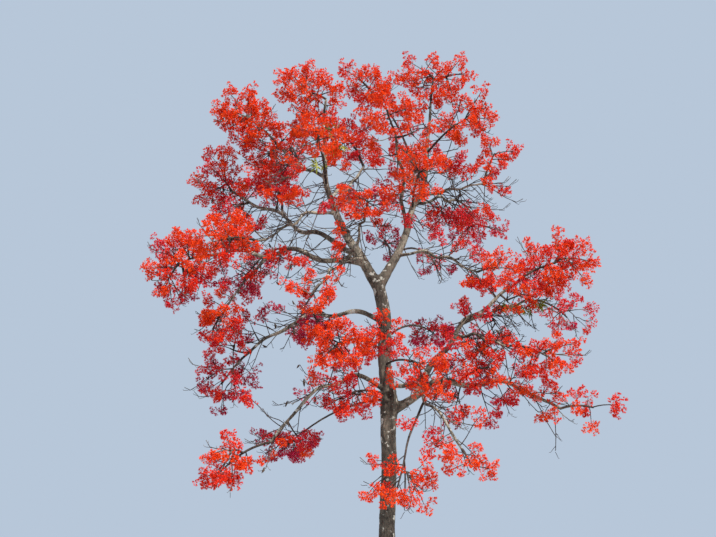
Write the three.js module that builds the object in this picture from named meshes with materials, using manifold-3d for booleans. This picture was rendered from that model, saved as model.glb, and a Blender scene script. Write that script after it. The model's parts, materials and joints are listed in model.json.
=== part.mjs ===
// A flame tree in full blossom, 15 m tall: a grey trunk that forks into two leaders, tapering
// boughs that arch out and droop at their ends, and no leaves but a cloud of scarlet blossom on
// the outermost twigs. Millimetres, +Z up. The origin is the middle of the flat cut at ground
// level, +X is to the right and +Y to the back as one stands before the tree.
import * as THREE from "three";
import { mergeVertices } from "three/addons/utils/BufferGeometryUtils.js";
import Module from "manifold-3d";

const wasm = await Module();
wasm.setup();

const UP = new THREE.Vector3(0, 0, 1);
const CLEARANCE = 0.3; // between two solids that meet

// The trunk: its height to the fork, how far its top stands to the left of its foot, and how far
// it bows to the right on the way.
const TRUNK = {
  height: 8970,
  lean: -100,
  bow: 170,
  bowPeak: 1.45, // above 1, so the bow is widest over half way up
  footRadius: 205,
  forkRadius: 148,
  flare: 150, // how much wider the root flare is at the ground
  flareHeight: 420,
  buttresses: 5,
  buttressDepth: 0.16,
  collar: 32, // the swelling where the lowest boughs leave
  collarHeight: 5900,
  collarSpread: 520,
  sides: 15,
  rings: 12,
  crowding: 1.5, // above 1, so the rings stand closer together over the flare
};

// How strongly a bough keeps to the slopes at its two ends, and how soon it tapers.
const PULL = 1.2;
const TAPER_POWER = 0.8;
// Every bough wanders off its smooth arc in slow waves, sideways and up and down, and comes back
// to it at both ends.
const WANDER = {
  size: 0.028, // against the length of the arc
  wavesSideways: 1.7, // along the whole bough
  wavesUpright: 2.6,
};
const BOUGH_RING_SPACING = 520;
const STOUT = 60; // a base radius above this gets eight sides, a slimmer bough six

// Each bough springs from its parent at a share of the parent's length, heads for a bearing
// (0 right, 90 back, 180 left, 270 front) and ends reach away and climb higher. It leaves and
// arrives at slopes in degrees above level, and tapers from a base to a tip radius.
const BOUGHS = {
  left_leader: {
    on: "trunk", at: 0.982, bearing: 201, reach: 1390, climb: 4550, leaves: 50, arrives: 97,
    base: 128, tip: 34,
  },
  right_leader: {
    on: "trunk", at: 0.982, bearing: 28, reach: 1510, climb: 5000, leaves: 58, arrives: 84,
    base: 118, tip: 34,
  },
  low_right_bough: {
    on: "trunk", at: 0.645, bearing: 351, reach: 3950, climb: 20, leaves: 40, arrives: -34,
    base: 108, tip: 38,
  },
  rising_right_bough: {
    on: "low_right_bough", at: 0.17, bearing: 355, reach: 2330, climb: 2560, leaves: 60,
    arrives: 32, base: 84, tip: 42,
  },
  right_middle_bough: {
    on: "rising_right_bough", at: 0.56, bearing: 35, reach: 2350, climb: 850, leaves: 20,
    arrives: 12, base: 50, tip: 34,
  },
  right_shelf_bough: {
    on: "rising_right_bough", at: 0.46, bearing: 323, reach: 1350, climb: -300, leaves: 14,
    arrives: -22, base: 46, tip: 36,
  },
  front_right_bough: {
    on: "trunk", at: 0.71, bearing: 300, reach: 3000, climb: -1700, leaves: 8, arrives: -46,
    base: 62, tip: 32,
  },
  long_left_bough: {
    on: "trunk", at: 0.695, bearing: 211, reach: 3080, climb: -1300, leaves: 42, arrives: -50,
    base: 62, tip: 36,
  },
  lower_left_bough: {
    on: "trunk", at: 0.885, bearing: 166, reach: 3400, climb: -650, leaves: 28, arrives: -36,
    base: 66, tip: 38,
  },
  far_left_bough: {
    on: "left_leader", at: 0.11, bearing: 176, reach: 3900, climb: 250, leaves: 10, arrives: -8,
    base: 78, tip: 40,
  },
  left_front_bough: {
    on: "left_leader", at: 0.4, bearing: 217, reach: 2200, climb: -1050, leaves: 4,
    arrives: -24, base: 46, tip: 32,
  },
  left_middle_bough: {
    on: "left_leader", at: 0.16, bearing: 155, reach: 3600, climb: 2050, leaves: 27,
    arrives: 30, base: 74, tip: 36,
  },
  upper_left_bough: {
    on: "left_leader", at: 0.62, bearing: 145, reach: 1550, climb: 1150, leaves: 26,
    arrives: 48, base: 48, tip: 34,
  },
  inner_front_bough: {
    on: "left_leader", at: 0.2, bearing: 282, reach: 1350, climb: 650, leaves: 62, arrives: 24,
    base: 44, tip: 28,
  },
  short_left_bough: {
    on: "left_leader", at: 0.13, bearing: 246, reach: 2500, climb: -1150, leaves: -4,
    arrives: -30, base: 56, tip: 32,
  },
  front_crown_bough: {
    on: "right_leader", at: 0.28, bearing: 262, reach: 1900, climb: 1950, leaves: 74,
    arrives: 52, base: 58, tip: 36,
  },
  back_crown_bough: {
    on: "left_leader", at: 0.47, bearing: 70, reach: 2350, climb: 1550, leaves: 26, arrives: 44,
    base: 50, tip: 36,
  },
  upper_right_bough: {
    on: "right_leader", at: 0.49, bearing: 350, reach: 1650, climb: 330, leaves: 26, arrives: 12,
    base: 42, tip: 30,
  },
  back_right_bough: {
    on: "right_leader", at: 0.44, bearing: 47, reach: 2350, climb: 300, leaves: 24,
    arrives: -22, base: 46, tip: 32,
  },
  right_front_bough: {
    on: "right_leader", at: 0.17, bearing: 321, reach: 2250, climb: -750, leaves: 6,
    arrives: -28, base: 46, tip: 32,
  },
};

// Each mass of blossom fills its own egg-shaped space, given by a centre and three half sizes,
// and hangs on one stem that leaves a bough at a share of its length, or at its tip.
// full is how close its sprays stand, against the rest of the crown.
const MASSES = {
  blossom_low_right: {
    on: "low_right_bough", centre: [4720, -700, 5820], half: [1240, 900, 660], full: 0.6,
  },
  blossom_low_right_inner: {
    on: "low_right_bough", at: 0.42, centre: [2350, -1050, 6700], half: [1180, 800, 700], full: 1,
  },
  blossom_right_top: {
    on: "rising_right_bough", centre: [4000, -400, 9270], half: [1150, 1100, 980], full: 1,
  },
  blossom_right_middle: {
    on: "right_middle_bough", centre: [4630, 1650, 8400], half: [940, 1000, 760], full: 0.6,
  },
  blossom_right_shelf: {
    on: "right_shelf_bough", centre: [3600, -1350, 6880], half: [1220, 850, 620], full: 1,
  },
  blossom_front_right: {
    on: "front_right_bough", centre: [1720, -2950, 4260], half: [900, 760, 580], full: 0.9,
  },
  blossom_front_low: {
    on: "front_right_bough", at: 0.5, centre: [200, -2600, 3860], half: [1100, 780, 780], full: 0.8,
  },
  blossom_long_left: {
    on: "long_left_bough", centre: [-3570, -1900, 4280], half: [820, 860, 940], full: 0.9,
  },
  blossom_low_back_left: {
    on: "trunk", at: 0.68, centre: [-2420, 2300, 5300], half: [1140, 960, 570], full: 0.9,
  },
  blossom_lower_left: {
    on: "lower_left_bough", centre: [-3860, 1050, 6620], half: [1140, 1060, 880], full: 0.75,
  },
  blossom_left_fall: {
    on: "far_left_bough", at: 0.6, centre: [-3910, -900, 7570], half: [850, 820, 720], full: 1,
  },
  blossom_front_left_low: {
    on: "trunk", at: 0.8, centre: [-1030, -2650, 6890], half: [980, 940, 680], full: 1,
  },
  blossom_hub_left: {
    on: "trunk", at: 0.69, centre: [-980, -1500, 5920], half: [1100, 720, 660], full: 0.8,
  },
  blossom_trunk_front: {
    on: "trunk", at: 0.84, centre: [-50, -1700, 7200], half: [540, 700, 800], full: 1,
  },
  blossom_hub_right: {
    on: "trunk", at: 0.77, centre: [870, -2200, 6400], half: [740, 800, 740], full: 1,
  },
  blossom_low_back: {
    on: "trunk", at: 0.84, centre: [1300, 3000, 8300], half: [1000, 1060, 620], full: 0.8,
  },
  blossom_far_left: {
    on: "far_left_bough", centre: [-4930, 250, 9340], half: [1020, 1120, 1220], full: 1,
  },
  blossom_left_front: {
    on: "left_front_bough", centre: [-3740, -2000, 9400], half: [980, 920, 780], full: 1,
  },
  blossom_left_back: {
    on: "far_left_bough", at: 0.45, centre: [-3540, 2600, 9650], half: [1020, 1060, 860], full: 0.8,
  },
  blossom_left_middle: {
    on: "left_middle_bough", centre: [-4060, 1500, 11960], half: [900, 1000, 1100], full: 1,
  },
  blossom_left_inner: {
    on: "left_middle_bough", at: 0.6, centre: [-2880, 2400, 12330], half: [1000, 1000, 900],
    full: 0.9,
  },
  blossom_left_top: {
    on: "left_leader", centre: [-1790, -500, 13530], half: [1100, 1060, 840], full: 1,
  },
  blossom_upper_left: {
    on: "upper_left_bough", centre: [-3340, 350, 13160], half: [1140, 1060, 980], full: 1,
  },
  blossom_inner_front: {
    on: "inner_front_bough", centre: [-330, -2150, 10220], half: [940, 780, 580], full: 0.8,
  },
  blossom_short_left: {
    on: "short_left_bough", centre: [-1620, -2750, 7940], half: [800, 800, 560], full: 0.8,
  },
  blossom_right_top_leader: {
    on: "right_leader", centre: [1300, 800, 14430], half: [1140, 1060, 880], full: 1,
  },
  blossom_upper_right_front: {
    on: "right_leader", at: 0.72, centre: [2140, -850, 12770], half: [840, 880, 820], full: 0.9,
  },
  blossom_front_crown: {
    on: "front_crown_bough", centre: [90, -1900, 12450], half: [940, 980, 900], full: 1,
  },
  blossom_middle_top: {
    on: "right_leader", at: 0.6, centre: [-420, 1300, 14500], half: [940, 960, 780], full: 1,
  },
  blossom_back_crown: {
    on: "back_crown_bough", centre: [-900, 2300, 13400], half: [980, 1000, 860], full: 1,
  },
  blossom_upper_right: {
    on: "upper_right_bough", centre: [2720, 100, 12200], half: [820, 860, 760], full: 1,
  },
  blossom_back_right: {
    on: "back_right_bough", centre: [2390, 2700, 11020], half: [1100, 1000, 760], full: 0.8,
  },
  blossom_right_inner: {
    on: "right_leader", at: 0.12, centre: [60, 1900, 10400], half: [620, 700, 560], full: 0.6,
  },
  blossom_right_front: {
    on: "right_front_bough", centre: [2480, -1450, 8850], half: [840, 800, 820], full: 0.8,
  },
  blossom_back_right_low: {
    on: "right_leader", at: 0.2, centre: [1540, 3800, 10200], half: [840, 900, 640], full: 0.5,
  },
  blossom_back_middle: {
    on: "upper_left_bough", at: 0.5, centre: [-2500, 3650, 13300], half: [1000, 900, 800],
    full: 0.8,
  },
  blossom_back_left: {
    on: "lower_left_bough", at: 0.4, centre: [-2260, 3500, 8650], half: [1060, 1000, 760], full: 0.6,
  },
  blossom_front_upper_left: {
    on: "left_leader", at: 0.54, centre: [-1540, -2500, 11630], half: [820, 840, 740], full: 0.9,
  },
  blossom_front_upper_right: {
    on: "right_leader", at: 0.42, centre: [810, -2400, 10850], half: [820, 840, 840], full: 0.9,
  },
};

// A spray is the cluster of blossom at one twig's end, as a lozenge with eight faces.
const SPRAY = {
  longest: 900,
  shortest: 400,
  lastStretch: 0.8, // of the longest, left of the way where a new twig hands over to its spray
  width: 0.76, // against its length
  thickness: 0.66,
  widestAt: 0.58,
  perSquareMetre: 4.5, // of the three cross sections of a mass together
};
const TWIG = {
  radius: 12, // of a twig with one spray
  room: 24, // the radius round a twig that other pieces keep out of
  taper: 0.7,
  lift: 0.16, // how far its end stands above the straight way, against its length
  budSpacing: 70, // places along it that can carry one spray or one finer twig each
  barePart: 0.2, // the share of it next to its fork that carries none
  past: 24, // how far its end runs on into the spray that closes it
};
const STEM = {
  arch: 0.16, // how high it arches, against its length
  room: 48, // the radius round a stem that other masses keep out of
  barePart: 0.3,
  lastBud: 0.96, // the share of its length where the outermost one sits
  fewest: 8, // spaces between them, however short it is
  sides: 4,
  rings: 3,
};
const SHELL = 0.2; // the inner share of a mass that stays free of spray ends
const MAX_TRIES = 12; // spray ends tried for each one wanted
const LIMB_PARTS = 12; // straight stretches of beads along each limb
const BEAD_SPACING = 60;
const BEAD_MARGIN = 12;
const OVERLAP = 0.72; // how near two pieces of one mass may come, against their beads

// Numbers whose multiples scatter points evenly in three directions, and a golden step that
// starts every mass at another place in that scatter.
const SCATTER = [0.8191725134, 0.6710436067, 0.5497004779];
const GOLDEN = 0.6180339887;

const BARK = new THREE.MeshStandardMaterial({ color: 0x8f8674, roughness: 0.92, metalness: 0 });
const BLOSSOM_COLOURS = [0xd9442c, 0xcf3a30, 0xdd5030, 0xc93c38];

const fraction = (x) => x - Math.floor(x);
const vector = (...xyz) => new THREE.Vector3(...xyz);

// Shared helpers that turn three.js geometry into solids and back.
function solidOf(geometry) {
  geometry.deleteAttribute("normal");
  geometry.deleteAttribute("uv");
  const merged = mergeVertices(geometry, 1e-3);
  return new wasm.Manifold(
    new wasm.Mesh({
      numProp: 3,
      vertProperties: merged.getAttribute("position").array,
      triVerts: new Uint32Array(merged.index.array),
    }),
  );
}

function meshOf(solid, name, material) {
  const { vertProperties, triVerts } = solid.getMesh();
  const geometry = new THREE.BufferGeometry();
  geometry.setAttribute("position", new THREE.BufferAttribute(vertProperties, 3));
  geometry.setIndex(new THREE.BufferAttribute(triVerts, 1));
  geometry.computeVertexNormals();
  const mesh = new THREE.Mesh(geometry, material);
  mesh.name = name;
  return mesh;
}

// The largest closed skin of a solid, without loose scraps or sealed hollows.
function largestBody(solid) {
  return solid.decompose().reduce((a, b) => (a.volume() > b.volume() ? a : b));
}

// A round tube that follows a line and tapers along it. side is level and square to the line.
function taperedTube({ line, side, tangent, radius, sides, rings, grow = 0, spread = 1 }) {
  const geometry = new THREE.CylinderGeometry(1, 1, 1, sides, rings);
  const place = geometry.getAttribute("position");
  for (let i = 0; i < place.count; i += 1) {
    const share = (place.getY(i) + 0.5) ** spread;
    const along = tangent ?? line.getTangent(share);
    const lift = side.clone().cross(along);
    const x = place.getX(i);
    const z = place.getZ(i);
    const wide = radius(share, Math.atan2(z, x)) + grow;
    const point = line
      .getPoint(share)
      .addScaledVector(side, x * wide)
      .addScaledVector(lift, z * wide)
      .addScaledVector(along, share === 1 ? grow : 0);
    place.setXYZ(i, point.x, point.y, point.z);
  }
  return solidOf(geometry);
}

// The trunk stands on a flat cut, flares into buttresses over the roots, swells where the low
// boughs leave, and tapers to the fork.
const trunkLine = {
  getPoint: (share) =>
    vector(
      TRUNK.lean * share + TRUNK.bow * Math.sin(Math.PI * share ** TRUNK.bowPeak),
      0,
      TRUNK.height * share,
    ),
};

function trunkRadius(share, angle) {
  const height = TRUNK.height * share;
  const taper = THREE.MathUtils.lerp(TRUNK.footRadius, TRUNK.forkRadius, share);
  const flare = Math.exp(-height / TRUNK.flareHeight);
  const ribs = TRUNK.buttressDepth * flare * Math.cos(TRUNK.buttresses * angle);
  const fromCollar = (height - TRUNK.collarHeight) / TRUNK.collarSpread;
  const collar = TRUNK.collar * Math.exp(-fromCollar * fromCollar);
  return (taper + TRUNK.flare * flare + collar) * (1 + ribs);
}

function trunkSolid(grow) {
  return taperedTube({
    line: trunkLine,
    side: vector(0, 1, 0),
    tangent: UP,
    radius: trunkRadius,
    sides: TRUNK.sides,
    rings: TRUNK.rings,
    spread: TRUNK.crowding,
    grow,
  });
}

// A bough's way from its foot to its tip: a smooth arc in one upright plane, and the slow waves
// that lead off it. number sets the waves of one bough apart from the next one's.
class BoughLine extends THREE.Curve {
  constructor(start, { bearing, reach, climb, leaves, arrives }, number) {
    super();
    const turn = THREE.MathUtils.degToRad(bearing);
    const outward = vector(Math.cos(turn), Math.sin(turn), 0);
    const tip = start.clone().addScaledVector(outward, reach).addScaledVector(UP, climb);
    const pull = (start.distanceTo(tip) * PULL) / 3;
    const slope = (degrees) => {
      const tilt = THREE.MathUtils.degToRad(degrees);
      return outward.clone().multiplyScalar(Math.cos(tilt)).addScaledVector(UP, Math.sin(tilt));
    };
    this.arc = new THREE.CubicBezierCurve3(
      start,
      start.clone().addScaledVector(slope(leaves), pull),
      tip.clone().addScaledVector(slope(arrives), -pull),
      tip,
    );
    this.side = vector(-outward.y, outward.x, 0);
    this.size = start.distanceTo(tip) * WANDER.size;
    this.number = number;
  }

  getPoint(share) {
    const off = this.size * Math.sin(Math.PI * share);
    const wave = (waves, axis) =>
      off * Math.sin(2 * Math.PI * (waves * share + this.number * GOLDEN * axis));
    return this.arc
      .getPoint(share)
      .addScaledVector(this.side, wave(WANDER.wavesSideways, 1))
      .addScaledVector(UP, wave(WANDER.wavesUpright, 2));
  }
}

const boughRadius = (bough, share) =>
  THREE.MathUtils.lerp(bough.base, bough.tip, share ** TAPER_POWER);

function boughSolid(limb, grow) {
  return taperedTube({
    line: limb.line,
    side: limb.line.side,
    radius: limb.radius,
    sides: limb.bough.base > STOUT ? 8 : 6,
    rings: Math.ceil(limb.line.getLength() / BOUGH_RING_SPACING),
    grow,
  });
}

// Beads along a line stand for its solid wherever two pieces have to keep clear of each other.
function beadsAlong(from, to, radiusFrom, radiusTo) {
  const count = Math.max(1, Math.ceil(from.distanceTo(to) / BEAD_SPACING));
  return Array.from({ length: count + 1 }, (_, i) => ({
    at: from.clone().lerp(to, i / count),
    radius: THREE.MathUtils.lerp(radiusFrom, radiusTo, i / count) + BEAD_MARGIN,
  }));
}

function limbBeads(line, radius, parts) {
  return Array.from({ length: parts }, (_, i) =>
    beadsAlong(
      line.getPoint(i / parts),
      line.getPoint((i + 1) / parts),
      radius(i / parts, 0),
      radius((i + 1) / parts, 0),
    ),
  ).flat();
}

const slimmer = (beads) => beads.map(({ at, radius }) => ({ at, radius: radius * OVERLAP }));
const touches = (beads, others) =>
  beads.some((a) => others.some((b) => a.at.distanceTo(b.at) < a.radius + b.radius));

// The limbs, each cut clear of those made before it.
const limbs = {
  trunk: {
    line: trunkLine,
    radius: trunkRadius,
    beads: limbBeads(trunkLine, trunkRadius, LIMB_PARTS),
    solid: trunkSolid(0),
    grown: trunkSolid(CLEARANCE),
  },
};
for (const [number, [name, bough]] of Object.entries(BOUGHS).entries()) {
  const line = new BoughLine(limbs[bough.on].line.getPoint(bough.at), bough, number);
  const radius = (share) => boughRadius(bough, share);
  const limb = { bough, line, radius, beads: limbBeads(line, radius, LIMB_PARTS) };
  const cut = (solid) =>
    largestBody(Object.values(limbs).reduce((rest, other) => rest.subtract(other.grown), solid));
  limb.solid = cut(boughSolid(limb, 0));
  limb.grown = boughSolid(limb, CLEARANCE);
  limbs[name] = limb;
}
const limbBeadsAll = Object.values(limbs).flatMap((limb) => limb.beads);

// A point's distance from the centre of a mass, where 1 is the skin of its space.
function reachIn({ centre, half }, point) {
  return vector(
    (point.x - centre[0]) / half[0],
    (point.y - centre[1]) / half[1],
    (point.z - centre[2]) / half[2],
  ).length();
}

const keepsToSpace = (mass, point) =>
  Object.values(MASSES).every(
    (other) => other === mass || reachIn(mass, point) < reachIn(other, point),
  );

// The stem arches from its limb to the middle of its mass.
function stemLine(mass) {
  const foot = limbs[mass.on].line.getPoint(mass.at ?? 1);
  const heart = vector(...mass.centre);
  const top = foot.clone().lerp(heart, 0.5);
  top.addScaledVector(UP, foot.distanceTo(heart) * STEM.arch);
  return new THREE.QuadraticBezierCurve3(foot, top, heart);
}

// Where spray number k of a mass ends, scattered through the outer part of its space.
function sprayEnd({ centre, half }, number, k) {
  const [a, b, c] = SCATTER.map((step, axis) =>
    fraction((number + 1) * GOLDEN * (axis + 1) + (k + 1) * step),
  );
  const level = 1 - 2 * a;
  const turn = 2 * Math.PI * b;
  const out = Math.sqrt(SHELL + (1 - SHELL) * c);
  const ring = Math.sqrt(1 - level * level) * out;
  return vector(
    centre[0] + half[0] * ring * Math.cos(turn),
    centre[1] + half[1] * ring * Math.sin(turn),
    centre[2] + half[2] * level * out,
  );
}

// Where each bead of a spray sits along it, and its radius against the spray's half width.
const SPRAY_BEADS = [
  [0.2, 0.35],
  [0.4, 0.7],
  [0.6, 1],
  [0.8, 0.5],
  [0.95, 0.15],
];

function sprayBeads(root, end) {
  const half = (root.distanceTo(end) * SPRAY.width) / 2;
  return SPRAY_BEADS.map(([share, wide]) => ({
    at: root.clone().lerp(end, share),
    radius: half * wide,
  }));
}

// The free places along a twig or stem, each of which can carry one spray or one finer twig.
function budsAlong(twig, { barePart, lastBud = 1, fewest = 1 }) {
  const leafy = lastBud - barePart;
  const count = Math.floor((twig.line.getLength() * leafy) / TWIG.budSpacing);
  const spaces = Math.max(fewest, count);
  return Array.from({ length: spaces + 1 }, (_, i) => ({
    twig,
    at: twig.line.getPoint(lastBud - (leafy * i) / spaces),
  }));
}

// A mass grows from its stem outwards. Each spray's end looks for the nearest free bud. Where
// that is too far off, a new twig first grows towards it. A spray or twig that would leave its
// space or touch another piece is skipped.
function growMass(mass, number, others) {
  const stem = { line: stemLine(mass), load: 1 };
  const twigs = [];
  const sprays = [];
  let buds = budsAlong(stem, STEM);
  const [a, b, c] = mass.half.map((size) => size / 1000);
  const wanted = Math.round(SPRAY.perSquareMetre * mass.full * (a * b + b * c + c * a));
  const free = (beads) =>
    beads.every((bead) => keepsToSpace(mass, bead.at)) &&
    !touches(beads, limbBeadsAll) &&
    !touches(beads, others);

  for (let k = 0; k < wanted * MAX_TRIES && sprays.length < wanted && buds.length > 0; k += 1) {
    const end = sprayEnd(mass, number, k);
    const near = (bud) => bud.at.distanceTo(end);
    const bud = buds.reduce((best, other) => (near(other) < near(best) ? other : best));
    const far = near(bud);
    let root = bud.at;
    let twig = null;
    if (far > SPRAY.longest) {
      root = bud.at.clone().lerp(end, 1 - (SPRAY.longest * SPRAY.lastStretch) / far);
      root.addScaledVector(UP, bud.at.distanceTo(root) * TWIG.lift);
      twig = { line: new THREE.LineCurve3(bud.at, root), parent: bud.twig, load: 0 };
    }
    const own = twig ? beadsAlong(bud.at, root, TWIG.room, TWIG.room) : [];
    const beads = sprayBeads(root, end);
    const crosses = sprays.some(
      (other) => touches(slimmer(beads), slimmer(other.beads)) || touches(own, slimmer(other.beads)),
    );
    const runs = twigs.some((other) => other !== bud.twig && touches(slimmer(beads), other.beads));
    if (near(bud) > SPRAY.shortest && !crosses && !runs && free([...beads, ...own])) {
      buds = buds.filter((other) => other !== bud);
      if (twig) {
        twig.beads = own;
        twigs.push(twig);
        buds.push(...budsAlong(twig, TWIG));
        buds = buds.filter((other) => other.at.distanceTo(root) > 1);
      }
      sprays.push({ root, end, beads });
      for (let step = twig ?? bud.twig; step; step = step.parent) step.load += 1;
    }
  }
  return { stem, twigs, sprays };
}

const towards = (direction) =>
  new THREE.Quaternion().setFromUnitVectors(vector(0, 1, 0), direction);

// One straight piece of twig, three-sided, that starts and ends inside its neighbours.
function twigSolid({ line, load }) {
  const base = TWIG.radius * Math.sqrt(load);
  const length = line.getLength() + TWIG.past;
  const along = line.v2.clone().sub(line.v1).normalize();
  const middle = line.v1.clone().addScaledVector(along, length / 2);
  return solidOf(
    new THREE.CylinderGeometry(base * TWIG.taper, base, length, 3)
      .applyQuaternion(towards(along))
      .translate(middle.x, middle.y, middle.z),
  );
}

function spraySolid({ root, end }) {
  const length = root.distanceTo(end);
  const along = end.clone().sub(root).normalize();
  const geometry = new THREE.OctahedronGeometry(1);
  const place = geometry.getAttribute("position");
  for (let i = 0; i < place.count; i += 1) {
    const y = Math.round(place.getY(i));
    place.setY(i, [0, length * SPRAY.widestAt, length][y + 1]);
  }
  geometry
    .scale((length * SPRAY.width) / 2, 1, (length * SPRAY.thickness) / 2)
    .applyQuaternion(towards(along))
    .translate(root.x, root.y, root.z);
  return solidOf(geometry);
}

// A twig is as thick as the sprays beyond it need, as if each had its own strand back to the foot.
function massSolid({ stem, twigs, sprays }) {
  const radius = TWIG.radius * Math.sqrt(stem.load);
  const { v0: foot, v2: heart } = stem.line;
  const stemSolid = taperedTube({
    line: stem.line,
    side: heart.clone().sub(foot).cross(UP).normalize().negate(),
    radius: (share) => radius * THREE.MathUtils.lerp(1, TWIG.taper, share),
    sides: STEM.sides,
    rings: STEM.rings,
  });
  return [...twigs.map(twigSolid), ...sprays.map(spraySolid)].reduce(
    (whole, piece) => whole.add(piece),
    stemSolid,
  );
}

const flameTree = new THREE.Group();
flameTree.name = "flame_tree";
for (const [name, limb] of Object.entries(limbs)) flameTree.add(meshOf(limb.solid, name, BARK));

const massEntries = Object.entries(MASSES);
const stemBeads = massEntries.map(([, mass]) =>
  limbBeads(stemLine(mass), () => STEM.room, STEM.rings),
);
const placedBeads = [];
massEntries.forEach(([name, mass], number) => {
  const others = [...stemBeads.filter((_, i) => i !== number).flat(), ...placedBeads];
  const grown = growMass(mass, number, others);
  placedBeads.push(...[...grown.twigs, ...grown.sprays].flatMap(({ beads }) => beads));
  const cut = Object.values(limbs).reduce(
    (rest, limb) => rest.subtract(limb.grown),
    massSolid(grown),
  );
  const colour = BLOSSOM_COLOURS[number % BLOSSOM_COLOURS.length];
  const petals = new THREE.MeshStandardMaterial({ color: colour, roughness: 0.7, metalness: 0 });
  flameTree.add(meshOf(largestBody(cut), name, petals));
});

export default flameTree;
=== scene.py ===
import json
import math

import bmesh
import bpy
import numpy as np
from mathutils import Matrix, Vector, kdtree, noise

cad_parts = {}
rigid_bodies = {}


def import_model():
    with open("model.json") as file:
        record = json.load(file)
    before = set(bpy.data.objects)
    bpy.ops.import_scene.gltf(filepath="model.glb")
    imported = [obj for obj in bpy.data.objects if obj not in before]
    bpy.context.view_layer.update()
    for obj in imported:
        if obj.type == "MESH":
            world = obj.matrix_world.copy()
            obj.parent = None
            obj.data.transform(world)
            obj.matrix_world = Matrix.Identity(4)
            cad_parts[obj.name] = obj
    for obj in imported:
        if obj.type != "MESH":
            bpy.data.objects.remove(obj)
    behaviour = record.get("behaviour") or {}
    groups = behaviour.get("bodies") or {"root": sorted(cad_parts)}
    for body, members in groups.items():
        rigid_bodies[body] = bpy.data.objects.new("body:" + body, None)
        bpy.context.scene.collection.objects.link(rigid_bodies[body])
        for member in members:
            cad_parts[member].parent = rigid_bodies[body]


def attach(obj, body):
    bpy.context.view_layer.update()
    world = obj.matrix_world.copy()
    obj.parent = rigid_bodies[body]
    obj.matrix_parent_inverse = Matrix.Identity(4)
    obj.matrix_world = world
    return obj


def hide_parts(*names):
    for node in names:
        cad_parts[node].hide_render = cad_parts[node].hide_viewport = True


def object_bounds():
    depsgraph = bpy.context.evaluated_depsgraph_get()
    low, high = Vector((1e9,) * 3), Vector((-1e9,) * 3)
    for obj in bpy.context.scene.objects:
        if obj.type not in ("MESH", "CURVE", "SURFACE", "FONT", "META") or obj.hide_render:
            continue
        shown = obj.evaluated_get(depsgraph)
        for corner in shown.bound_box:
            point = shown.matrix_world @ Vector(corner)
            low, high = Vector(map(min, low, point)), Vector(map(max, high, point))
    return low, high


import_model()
cad_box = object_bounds()

# The camera stands on the ground well in front of the tree, at eye height, and looks up into
# the crown. Its frame takes in the whole crown and cuts off the lowest stretch of the trunk.
EYE = (-0.60, -30.0, 1.60)
UPWARD_SLOPE = 0.255
LENS, SENSOR_WIDTH = 65.4, 36  # millimetres
SEES_TO = 500

eye = bpy.data.objects.new("eye", bpy.data.cameras.new("eye"))
eye.data.lens = LENS
eye.data.sensor_width = SENSOR_WIDTH
eye.data.clip_end = SEES_TO
eye.location = EYE
eye.rotation_euler = (math.pi / 2 + math.atan(UPWARD_SLOPE), 0, 0)
bpy.context.scene.collection.objects.link(eye)
bpy.context.scene.camera = eye

# The trunk is one grey stem of soft, light wood, rooted in the ground. It flares into low
# buttresses at its foot, bows a little to the right, swells where the lowest boughs leave and
# forks into two leaders.
RIGHT, BACK, UP = np.eye(3)
TRUNK = dict(
    height=8.97, lean=-0.10, bow=0.17, bow_peak=1.45, foot_radius=0.205, fork_radius=0.148,
    flare=0.15, flare_height=0.42, buttresses=5, buttress_depth=0.16,
    collar=0.032, collar_height=5.90, collar_spread=0.52,
)


def trunk_line(share):
    share = np.asarray(share, float)
    bow = TRUNK["bow"] * np.sin(math.pi * share ** TRUNK["bow_peak"])
    return np.stack(
        [TRUNK["lean"] * share + bow, np.zeros_like(share), TRUNK["height"] * share], axis=-1
    )


def trunk_radius(share, angle=0.0):
    height = TRUNK["height"] * share
    taper = TRUNK["foot_radius"] + (TRUNK["fork_radius"] - TRUNK["foot_radius"]) * share
    flare = np.exp(-height / TRUNK["flare_height"])
    ribs = TRUNK["buttress_depth"] * flare * np.cos(TRUNK["buttresses"] * angle)
    from_collar = (height - TRUNK["collar_height"]) / TRUNK["collar_spread"]
    collar = TRUNK["collar"] * np.exp(-(from_collar**2))
    return (taper + TRUNK["flare"] * flare + collar) * (1 + ribs)


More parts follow.
